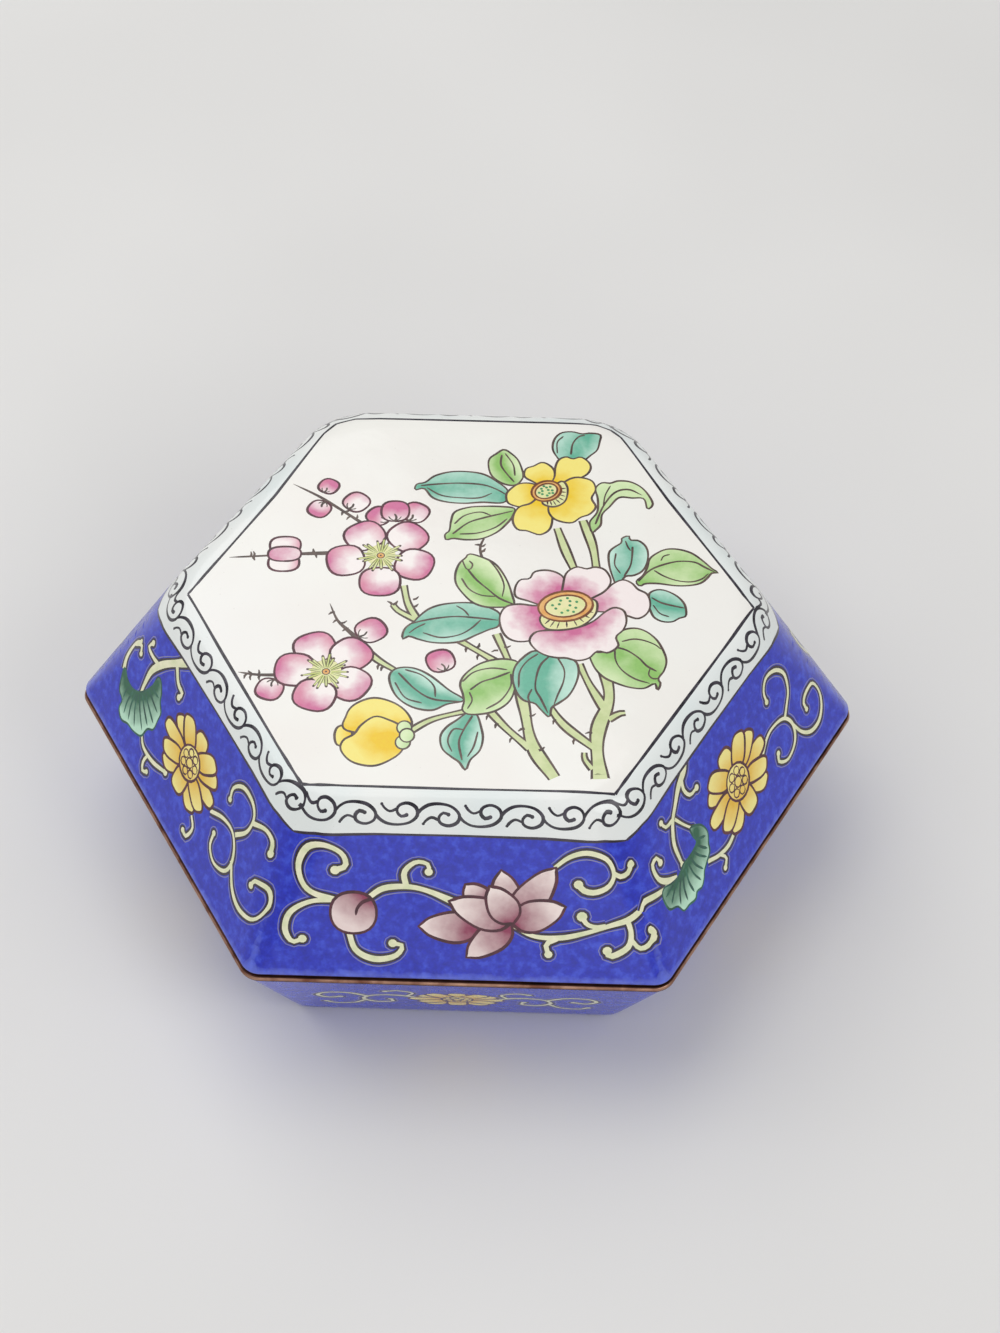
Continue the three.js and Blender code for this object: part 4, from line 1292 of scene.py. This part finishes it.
def flower_side_right(pen, line):
    """Chrysanthemum with scrolls to its right, and a leaf to its left."""
    vines(
        pen,
        [
            ([(-6.9, 22.4), (-8.3, 20.8), (-10.5, 19.8), (-12.5, 18.3), (-13.9, 17.2), (-15.0, 15.8), (-15.9, 13.8),
              (-16.1, 10.6)], 1.0, 0.5),
            ([(-9.2, 20.5), (-9.8, 18.7), (-9.1, 17.1), (-7.4, 16.9)], 0.5, 0.55),
            ([(-13.9, 17.1), (-15.8, 17.3), (-16.3, 18.5)], 0.5, 0.5),
            ([(-13.7, 16.8), (-12.6, 14.8), (-11.4, 13.0)], 0.5, 0.4),
            ([(-11.5, 6.8), (-9.2, 5.7), (-6.6, 5.2), (-4.2, 5.8)], 0.7, 0.5),
            ([(-8.9, 5.6), (-8.0, 4.2), (-9.0, 3.2)], 0.5, 0.5),
            ([(-26.2, 11.0), (-24.7, 11.4), (-22.0, 11.0), (-20.7, 10.5)], 0.8, 0.6),
            ([(-18.1, 9.9), (-20.0, 11.2), (-21.3, 12.9), (-21.2, 15.0), (-19.9, 15.4), (-19.6, 14.3)], 0.9, 0.6),
            ([(6.6, 9.6), (9.6, 11.2), (12.0, 11.3), (14.3, 10.5), (15.4, 8.7), (15.1, 6.9), (13.8, 5.6),
              (11.5, 5.1), (9.7, 6.3), (10.2, 7.4)], 0.5, 0.5),
            ([(14.4, 10.4), (15.9, 11.7), (17.4, 13.2), (18.0, 15.7), (16.6, 17.6), (14.2, 18.2), (12.6, 17.0),
              (12.3, 15.3)], 0.5, 0.5),
            ([(15.4, 8.4), (16.6, 5.9), (18.5, 4.4), (20.9, 4.3), (22.7, 5.7), (23.5, 8.0), (22.8, 9.9),
              (20.7, 9.9), (19.4, 9.1), (19.4, 7.8)], 0.6, 0.45),
        ],
        line,
    )
    ruffled_leaf(
        pen,
        [(-11.9, 13.4), (-10.7, 12.9), (-9.6, 11.9), (-9.1, 10.4), (-9.5, 9.4), (-9.9, 8.8), (-10.4, 7.6),
         (-11.8, 6.9), (-12.9, 6.3), (-13.5, 5.6), (-14.6, 4.9), (-15.8, 5.2), (-16.7, 4.6), (-18.2, 5.0),
         (-19.6, 5.2), (-20.3, 6.7), (-21.8, 7.6), (-22.1, 9.1), (-21.9, 10.4), (-21.0, 10.9), (-19.6, 10.3),
         (-18.1, 9.9), (-16.9, 10.1), (-15.8, 10.5), (-14.4, 10.4), (-12.9, 10.5), (-11.8, 10.9), (-12.0, 12.2)],
        [(-11.0, 12.0), (-12.0, 10.4), (-13.4, 10.0), (-14.7, 9.8), (-15.7, 9.6), (-16.9, 9.4), (-18.4, 9.4),
         (-20.2, 9.8)],
        [((-11.5, 11.1), (-9.8, 10.1)), ((-12.0, 10.6), (-10.5, 8.4)), ((-13.2, 10.3), (-11.3, 7.5)),
         ((-14.2, 10.0), (-12.9, 6.7)), ((-15.0, 9.8), (-14.2, 5.8)), ((-15.9, 9.6), (-16.3, 5.6)),
         ((-16.7, 9.6), (-18.1, 5.7)), ((-17.4, 9.5), (-19.6, 6.4)), ((-18.3, 9.7), (-21.1, 7.9)),
         ((-19.3, 9.8), (-21.5, 9.6))],
        4.4, line,
    )
    chrysanthemum(pen.at(0.4, 10.9), 8.3, 6.2, line, 6)


def base_side(pen, line):
    """A chrysanthemum between two scrolls."""
    for flip in (-1, 1):
        vines(
            pen.at(0, 0, 0, flip, 1),
            [
                ([(5.2, 11.0), (8.4, 12.8), (11.8, 12.2), (13.2, 9.4), (11.6, 7.0), (9.2, 7.6),
                  (9.4, 9.4)], 0.6, 0.5),
                ([(12.6, 11.4), (15.2, 13.8), (18.2, 13.6), (19.6, 11.4), (18.2, 9.6), (16.4, 10.4)], 0.6, 0.5),
                ([(12.9, 8.4), (14.6, 5.6), (17.2, 4.9), (18.6, 6.2)], 0.5, 0.5),
                ([(7.0, 12.4), (6.2, 15.0), (8.2, 16.6), (10.0, 15.8)], 0.5, 0.5),
            ],
            line,
        )
    chrysanthemum(pen.at(0, 10.4), 6.6, 5.2, line)


# Shells


def lid_skin(sizes):
    """The lid's outer face, from the middle of its top to its copper band."""
    apothem = lid_high.y / MM
    rise = (lid_high.z - lid_low.z - sizes.lid_band - sizes.lid_crown) / MM
    angle = sizes.lid_angle
    radius = sizes.lid_edge / MM
    flat = apothem - rise / math.tan(angle) - radius * math.tan(angle / 2)
    band_top = (lid_low.z + sizes.lid_band) / MM
    top = band_top + rise
    corner, rim_corner = sizes.lid_corner / MM, sizes.rim_corner / MM
    shoulder = corner + (rim_corner - corner) * 0.25
    stations = []
    for i in range(17):
        share = i / 16
        crown = sizes.lid_crown / MM * (1 + math.cos(math.pi * share)) / 2
        stations.append((flat * share, flat * share, top + crown, corner * max(0, share * 4 - 3), 0.0))
    for i in range(1, 13):
        turn = angle * i / 12
        stations.append(
            (
                flat + radius * turn,
                flat + radius * math.sin(turn),
                top - radius * (1 - math.cos(turn)),
                corner + (shoulder - corner) * i / 12,
                turn,
            )
        )
    last = stations[-1]
    run = (apothem - last[1]) / math.cos(angle)
    stations.append((last[0] + run, apothem, band_top, rim_corner, angle))
    return Skin(stations, True), flat, last[0]


def base_skin(sizes):
    """The base's outer face, from the middle of its bottom to its copper rim."""
    apothem = lid_high.y / MM
    foot = sizes.foot_apothem / MM
    depth = (lid_low.z - sizes.base_band) / MM
    angle = math.atan2(depth, apothem - foot)
    radius = sizes.foot_edge / MM
    flat = foot - radius * math.tan(angle / 2)
    corner, rim_corner = sizes.foot_corner / MM, sizes.rim_corner / MM
    stations = [(flat * i / 8, flat * i / 8, 0.0, corner * max(0, i / 2 - 3), 0.0) for i in range(9)]
    for i in range(1, 9):
        turn = angle * i / 8
        stations.append(
            (flat + radius * turn, flat + radius * math.sin(turn), radius * (1 - math.cos(turn)), corner, turn)
        )
    last = stations[-1]
    run = (apothem - last[1]) / math.cos(angle)
    stations.append((last[0] + run, apothem, depth, rim_corner, angle))
    return Skin(stations, False), flat, last[0]


def spaced(start, end, step):
    count = max(1, round((end - start) / step))
    return [start + (end - start) * (i + 0.5) / count for i in range(count)]


def painted_object(name, painting, paints):
    """The cut sheet lifted onto its shell, with its grain, its mask of worn enamel and painted ridge highlight, and
    smooth normals.
    """
    flat, faces, on_top = painting.cut()
    places, normals, wear_and_highlight = painting.skin.lift(flat)
    if painting.skin.up < 0:
        faces = faces[:, ::-1]
    mesh = bpy.data.meshes.new(name)
    mesh.from_pydata((places * MM).tolist(), [], faces.tolist())
    slots = list(paints)
    for material in paints.values():
        mesh.materials.append(material)
    chosen = [slots.index(painting.patches[number][0]) for number in on_top]
    mesh.polygons.foreach_set("material_index", chosen)
    grain = np.zeros((len(faces), 3, 3))
    order = np.argsort(on_top, kind="stable")
    bounds = np.flatnonzero(np.diff(on_top[order])) + 1
    for group in np.split(order, bounds):
        _, read, chance = painting.patches[on_top[group[0]]]
        corners = flat[faces[group].reshape(-1)]
        values = np.zeros((len(corners), 3))
        if read:
            values[:, 0], values[:, 1] = read(corners)
        values[:, 2] = chance
        grain[group] = values.reshape(len(group), 3, 3)
    layer = mesh.attributes.new("grain", "FLOAT_VECTOR", "CORNER")
    layer.data.foreach_set("vector", grain.ravel())
    layer = mesh.attributes.new("wear_and_highlight", "FLOAT", "POINT")
    layer.data.foreach_set("value", wear_and_highlight)
    thing = bpy.data.objects.new(name, mesh)
    bpy.context.scene.collection.objects.link(thing)
    return thing, flat, normals


def deselect_all():
    if bpy.context.object and bpy.context.object.mode != "OBJECT":
        bpy.ops.object.mode_set(mode="OBJECT")
    bpy.ops.object.select_all(action="DESELECT")


def select_only(thing):
    deselect_all()
    thing.select_set(True)
    bpy.context.view_layer.objects.active = thing


def loop_vertices(mesh):
    """The vertex of every face corner."""
    vertex = np.empty(len(mesh.loops), dtype=np.int32)
    mesh.loops.foreach_get("vertex_index", vertex)
    return vertex


def close_shell(thing, skin, sheet, levels):
    """Draws the open rim on, level by level, through the metal edge and up the inner wall.

    Each level is an apothem, a height, a corner radius and a paint. Returns, for every vertex, the
    number of its level and the rim vertex that it was drawn from.
    """
    select_only(thing)
    mesh = thing.data
    painted = len(mesh.polygons)
    bpy.ops.object.mode_set(mode="EDIT")
    bpy.ops.mesh.select_mode(type="EDGE")
    bpy.ops.mesh.select_all(action="DESELECT")
    bpy.ops.mesh.select_non_manifold()
    for _ in levels:
        bpy.ops.mesh.extrude_region_move(TRANSFORM_OT_translate={"value": (0, 0, 0)})
    bpy.ops.mesh.edge_face_add()
    bpy.ops.object.mode_set(mode="OBJECT")
    places = np.empty((len(mesh.vertices), 3), dtype=np.float32)
    mesh.vertices.foreach_get("co", places.ravel())
    middle, q, along = skin.sectors(sheet)
    rim = np.flatnonzero(q > skin.end - 1e-4)
    share = np.clip(along / np.maximum(q * HALF_TAN, 1e-9), -1, 1)
    rim = rim[np.lexsort(places[rim].T)]
    drawn = len(rim) * len(levels)
    if len(places) != len(sheet) + drawn or len(mesh.polygons) != painted + drawn + 1:
        raise RuntimeError(f"{thing.name}: the rim was not drawn on as expected")
    level_of = np.full(len(places), -1)
    drawn_from = np.arange(len(places))
    for number, (apothem, height, corner, _) in enumerate(levels):
        ring = len(sheet) + number * len(rim) + np.arange(len(rim))
        ring = ring[np.lexsort(places[ring].T)]
        if not np.allclose(places[ring], places[rim], atol=1e-7):
            raise RuntimeError(f"{thing.name}: level {number} does not follow the rim")
        level_of[ring] = number
        drawn_from[ring] = rim
        x, y, _ = rounded(middle[rim], share[rim], apothem, corner)
        places[ring] = np.stack([x, y, np.full(len(rim), height)], axis=1) * MM
    mesh.vertices.foreach_set("co", places.ravel())
    slots = [material.name for material in mesh.materials]
    for face in list(mesh.polygons)[painted:]:
        number = min(len(levels) - 1, max(level_of[v] for v in face.vertices))
        face.material_index = slots.index(levels[number][3])
    mesh.update()
    return level_of, drawn_from


def set_shading(thing, painted, normals):
    """Smooth shading, with the exact normals of the skin on its painted faces."""
    select_only(thing)
    bpy.ops.object.shade_smooth_by_angle(angle=math.radians(40))
    mesh = thing.data
    corners = np.zeros((len(mesh.loops), 3))
    vertex = loop_vertices(mesh)
    first = painted * 3
    corners[:first] = normals[vertex[:first]]
    mesh.normals_split_custom_set(corners.tolist())


def bake_map(thing, sheet, end, levels, level_of, drawn_from, metal):
    """A map with no overlaps.

    The sheet lies as it is, with the first levels round it, as many as metal says. The inner
    faces are a small hexagon in a corner of the square.
    """
    mesh = thing.data
    layer = mesh.uv_layers.new(name="OFBake")
    vertex = loop_vertices(mesh)
    half = end / math.cos(SIXTH / 2) + 3
    small = (half * (math.cos(SIXTH / 2) + 0.5) - end - 3) / (math.cos(SIXTH / 2) + 1.5) - 0.4
    centre = half - small - 0.2
    runs = [math.hypot(b[0] - a[0], b[1] - a[1]) for a, b in zip(levels, levels[1:])]
    outer = np.cumsum([0.3] + runs[: metal - 1])
    outer = 1 + 2.4 / end * outer / outer[-1]
    inner = np.cumsum([0.0] + runs[metal - 1 :])
    left = levels[-1][0]
    inner = small * math.cos(SIXTH / 2) / end * (1 - inner / (inner[-1] + left))
    spots = sheet[drawn_from[vertex]]
    level = level_of[vertex]
    scale = np.where(level < 0, 1.0, outer[np.clip(level, 0, metal - 1)])
    starts = np.empty(len(mesh.polygons), dtype=np.int32)
    totals = np.empty(len(mesh.polygons), dtype=np.int32)
    mesh.polygons.foreach_get("loop_start", starts)
    mesh.polygons.foreach_get("loop_total", totals)
    deepest = np.maximum.reduceat(level, starts)
    inside = np.repeat(deepest >= metal, totals)
    places = spots * scale[:, None]
    shrunk = spots * inner[np.clip(level - metal + 1, 0, len(inner) - 1)][:, None] + centre
    places = np.where(inside[:, None], shrunk, places)
    layer.data.foreach_set("uv", (places / (2 * half) + 0.5).ravel())


def finish_shell(thing, skin, sheet, normals, levels, metal):
    """Draws the metal and the inner wall on, and sets the shading and the map."""
    painted = len(thing.data.polygons)
    level_of, drawn_from = close_shell(thing, skin, sheet, levels)
    set_shading(thing, painted, normals)
    bake_map(thing, sheet, skin.end, levels, level_of, drawn_from, metal)


class TRINKET_OT_lid(bpy.types.Operator):
    """Build the painted lid"""

    bl_idname = "trinket.lid"
    bl_label = "Painted Lid"

    def execute(self, context):
        sizes = context.scene.trinket_sizes
        paints = trinket_paints(context)
        skin, flat, shoulder = lid_skin(sizes)
        line = sizes.line / MM
        rings = spaced(1.0, flat, 3.0) + spaced(flat, shoulder, 0.5)
        rings += spaced(shoulder, skin.end - 0.4, 2.0)
        painting = Painting(skin, RIM_SPACING, rings)
        painting.ground("cobalt_enamel")
        for side in (FRONT, BACK):
            lotus_side(Pen(painting, SidePanel(skin, side, -1)).at(0.47, -0.3, 0.45, 1.018), line)
        for side in (FRONT_LEFT, BACK_RIGHT):
            flower_side_left(Pen(painting, SidePanel(skin, side, -1)), line)
        for side in (FRONT_RIGHT, BACK_LEFT):
            flower_side_right(Pen(painting, SidePanel(skin, side, -1)), line)
        self.border(painting, skin, line)
        top = Pen(painting, TopPanel(skin))
        picture(top.at(0.23, 0.62, 0.3, 1.006), line)
        thing, sheet, normals = painted_object("painted_lid", painting, paints)
        apothem = skin.apothem[-1]
        band_top = skin.height[-1]
        bottom = lid_low.z / MM
        wall = sizes.lid_wall / MM
        corner = sizes.rim_corner / MM
        angle = sizes.lid_angle
        inner_flat = lid_high.z / MM - wall - sizes.lid_crown / MM
        edge = flat + sizes.lid_edge / MM * math.tan(angle / 2) - wall * math.tan(angle / 2)
        inner_radius = sizes.lid_edge / MM - wall
        levels = [
            (apothem - 0.02, bottom + 0.55, corner - 0.02, "cobalt_enamel"),
            (apothem - 0.12, bottom + 0.48, corner - 0.12, "cobalt_enamel"),
            # The lid's copper band below the enamel: oxidised copper, darkened further as painted shade.
            (apothem - 0.12, bottom + 0.15, corner - 0.12, "shaded_dark_copper"),
            (apothem - 0.27, bottom, corner - 0.27, "shaded_dark_copper"),
            (apothem - wall + 0.15, bottom, inset(corner, wall - 0.15), "shaded_dark_copper"),
            (apothem - wall, bottom + 0.15, inset(corner, wall), "shaded_dark_copper"),
            (apothem - wall, bottom + 1.0, inset(corner, wall), "shaded_dark_copper"),
        ]
        metal = len(levels)
        for i in range(6, -1, -1):
            turn = angle * i / 6
            levels.append(
                (
                    edge - inner_radius * math.tan(angle / 2) + inner_radius * math.sin(turn),
                    inner_flat - inner_radius * (1 - math.cos(turn)),
                    inset(float(np.interp(flat + sizes.lid_edge / MM * turn, skin.q, skin.corner)), wall),
                    "lining_enamel",
                )
            )
        finish_shell(thing, skin, sheet, normals, levels, metal)
        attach(thing, "root")
        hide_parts("lid")
        return {"FINISHED"}

    def border(self, painting, skin, line):
        """The white border with its scrolls, and the fine lines on both sides of it."""
        sheet = Pen(painting, SheetPanel())
        top = Pen(painting, TopPanel(skin))
        blue_edge = []
        for side in range(SIDES):
            cos, sin = math.cos((side + 0.5) * SIXTH), math.sin((side + 0.5) * SIXTH)
            for share, q in BLUE_EDGE:
                beside = share * q * HALF_TAN
                blue_edge.append((q * cos - beside * sin, q * sin + beside * cos))
        outer = straight(blue_edge, EDGE_STEPS)
        inner = straight(PICTURE_EDGE, PICTURE_STEPS)
        sheet.fill(outer, "border_white")
        top.fill(inner, "picture_white")
        outer = np.vstack([outer, outer[:1]])
        inner = np.vstack([inner, inner[:1]])
        count = EDGE_STEPS * len(BLUE_EDGE)
        for side in range(SIDES):
            stroke = outer[count * side : count * (side + 1) + 1]
            sheet.line(stroke, line * 1.15, "black_line", ends=(0.8, 0.6))
        for start, end in PICTURE_STROKES:
            stroke = inner[start * PICTURE_STEPS : end * PICTURE_STEPS + 1]
            top.line(stroke, line * 1.25, "scroll_line", ends=(0.9, 0.8))
        for side in range(SIDES):
            own = Pen(painting, SidePanel(skin, side, -1))
            scroll_side(own, BORDER_HALF, skin.end - SCROLL_LINE[side], line)


class TRINKET_OT_base(bpy.types.Operator):
    """Build the painted base"""

    bl_idname = "trinket.base"
    bl_label = "Painted Base"

    def execute(self, context):
        sizes = context.scene.trinket_sizes
        paints = trinket_paints(context)
        skin, flat, shoulder = base_skin(sizes)
        line = sizes.line / MM
        rings = spaced(2.0, flat, 3.5) + spaced(flat, shoulder, 0.6)
        rings += spaced(shoulder, skin.end - 0.4, 1.3)
        painting = Painting(skin, RIM_SPACING, rings)
        painting.ground("cobalt_enamel")
        for side in range(SIDES):
            base_side(Pen(painting, SidePanel(skin, side, 1)), line)
        foot = (flat - 0.6) / math.cos(SIXTH / 2)
        corners = [(foot * math.cos(i * SIXTH), foot * math.sin(i * SIXTH)) for i in range(SIDES)]
        Pen(painting, SheetPanel()).fill(straight(corners, EDGE_STEPS), "lining_enamel")
        thing, sheet, normals = painted_object("painted_base", painting, paints)
        apothem, rim_height = skin.apothem[-1], skin.height[-1]
        band = sizes.base_band / MM
        reach = (base_high.y - lid_high.y) / MM
        seat = lid_low.z / MM
        angle = skin.tilt[-1]
        corner = sizes.rim_corner / MM
        wall, lip = sizes.base_wall / MM, sizes.lip_wall / MM
        levels = [(apothem - 0.1, rim_height + 0.04, corner - 0.1, "cobalt_enamel")]
        for i in range(7):
            turn = math.pi * i / 6
            out = (reach + 0.1) * math.sin(turn) - 0.1
            height = rim_height + 0.06 + (band - 0.06) * (1 - math.cos(turn)) / 2
            # The crest of the rolled rim gets the brighter copper as a painted highlight, the rest the darker copper
            # as painted shade.
            copper = "copper_highlight" if i in (4, 5) else "shaded_dark_copper"
            levels.append((apothem + out, height, corner + out, copper))
        metal = len(levels)
        lean = (sizes.lip_height / MM - band) / math.tan(sizes.lid_angle)
        lip_out = apothem - sizes.seat / MM
        lip_top = seat + sizes.lip_height / MM
        meeting = rim_height - (sizes.seat / MM + lip - wall / math.sin(angle)) * math.tan(angle)
        outside, inside = inset(corner, sizes.seat / MM), inset(corner, sizes.seat / MM + lip)
        levels += [
            (lip_out, seat, outside, "shaded_dark_copper"),
            (lip_out, seat + band, outside, "copper_highlight"),
            (lip_out - lean, lip_top, outside, "copper_highlight"),
            (lip_out - lean - lip, lip_top, inside, "copper_highlight"),
            (lip_out - lip, seat + band, inside, "lining_enamel"),
            (lip_out - lip, meeting, inside, "lining_enamel"),
        ]
        inner = sizes.foot_apothem / MM + wall / math.tan(angle) - wall / math.sin(angle)
        inner_radius = sizes.foot_edge / MM - wall
        for i in range(4, -1, -1):
            turn = angle * i / 4
            levels.append(
                (
                    inner - inner_radius * math.tan(angle / 2) + inner_radius * math.sin(turn),
                    wall + inner_radius * (1 - math.cos(turn)),
                    inset(sizes.foot_corner / MM, wall),
                    "lining_enamel",
                )
            )
        finish_shell(thing, skin, sheet, normals, levels, metal)
        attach(thing, "root")
        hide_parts("base")
        return {"FINISHED"}


def straight(corners, steps):
    """Points round an outline of straight sides, a number of steps to each side."""
    corners = np.array(corners)
    ahead = np.roll(corners, -1, axis=0)
    return np.vstack([a + (b - a) * np.arange(steps)[:, None] / steps for a, b in zip(corners, ahead)])


def trinket_paints(context):
    """The paints, made once and shared by both pieces."""
    global shared_paints
    if not shared_paints:
        shared_paints = all_paints(context.scene.trinket_colours)
    return shared_paints


shared_paints = {}


# Stage


class TRINKET_OT_stage(bpy.types.Operator):
    """Set the floor, the lights and the camera"""

    bl_idname = "trinket.stage"
    bl_label = "Studio Stage"

    def execute(self, context):
        deselect_all()
        bpy.ops.mesh.primitive_plane_add(size=6.0, location=(0, 0, 0))
        floor = bpy.context.object
        floor.name = "floor"
        nodes = Nodes("floor_paper")
        nodes.shader.inputs["Roughness"].default_value = 0.75
        shade = nodes.ramp(nodes.noise(9.0, 2.0), [(0.3, srgb("E2E1DF")), (0.7, srgb("E9E8E6"))])
        floor.data.materials.append(nodes.finish(shade))
        self.light("key_light", (-0.35, 0.25, 0.75), 1.1, 4.1)
        self.light("fill_light", (0.55, -0.45, 0.6), 0.5, 1.5)
        self.light("front_light", (0.1, -0.9, 0.35), 0.8, 1.2)
        world = bpy.data.worlds.new("studio")
        world.use_nodes = True
        world.node_tree.nodes["Background"].inputs["Color"].default_value = (1.0, 1.0, 1.0, 1.0)
        world.node_tree.nodes["Background"].inputs["Strength"].default_value = 0.45
        context.scene.world = world
        context.scene.view_settings.view_transform = "Standard"
        self.camera(context.scene)
        return {"FINISHED"}

    def light(self, name, place, size, power):
        data = bpy.data.lights.new(name, "AREA")
        data.shape = "DISK"
        data.size = size
        data.energy = power
        lamp = bpy.data.objects.new(name, data)
        lamp.location = place
        lamp.rotation_euler = (Vector((0, 0, 0.03)) - Vector(place)).to_track_quat("-Z", "Y").to_euler()
        bpy.context.scene.collection.objects.link(lamp)

    def camera(self, scene):
        """The view of the photograph: above the front side, close enough for strong perspective."""
        elevation, roll = math.radians(49.81), math.radians(1.6)
        distance, sideways, raised = 0.3786, 0.00485, 0.00461
        back = Vector((0, -math.cos(elevation), math.sin(elevation)))
        level = Vector((0, 0, 1)).cross(back).normalized()
        upright = back.cross(level)
        right = level * math.cos(roll) + upright * math.sin(roll)
        up = upright * math.cos(roll) - level * math.sin(roll)
        data = bpy.data.cameras.new("camera")
        data.sensor_width = 36.0
        data.lens = 68.94
        data.clip_start = 0.01
        camera = bpy.data.objects.new("camera", data)
        turned = Matrix((right, up, back)).transposed().to_4x4()
        target = Vector((0, 0, lid_low.z + 0.001))
        turned.translation = target + back * distance + right * sideways + up * raised
        camera.matrix_world = turned
        scene.collection.objects.link(camera)
        scene.camera = camera


class TRINKET_PT_panel(bpy.types.Panel):
    """Lists the pieces, their sizes and their colours"""

    bl_idname = "TRINKET_PT_panel"
    bl_label = "Trinket Box"
    bl_space_type = "VIEW_3D"
    bl_region_type = "UI"
    bl_category = "Trinket Box"

    def draw(self, context):
        column = self.layout.column(align=True)
        for operator in (TRINKET_OT_stage, TRINKET_OT_base, TRINKET_OT_lid):
            column.operator(operator.bl_idname)
        for group in (context.scene.trinket_sizes, context.scene.trinket_colours):
            box = self.layout.box()
            for name in group.__annotations__:
                box.prop(group, name)


classes = (BoxSizes, EnamelColours, TRINKET_OT_stage, TRINKET_OT_base, TRINKET_OT_lid, TRINKET_PT_panel)


def register():
    for item in classes:
        bpy.utils.register_class(item)
    bpy.types.Scene.trinket_sizes = PointerProperty(type=BoxSizes)
    bpy.types.Scene.trinket_colours = PointerProperty(type=EnamelColours)


def unregister():
    del bpy.types.Scene.trinket_colours
    del bpy.types.Scene.trinket_sizes
    for item in reversed(classes):
        bpy.utils.unregister_class(item)


def main():
    register()
    bpy.ops.trinket.stage()
    bpy.ops.trinket.base()
    bpy.ops.trinket.lid()


if __name__ == "__main__":
    main()
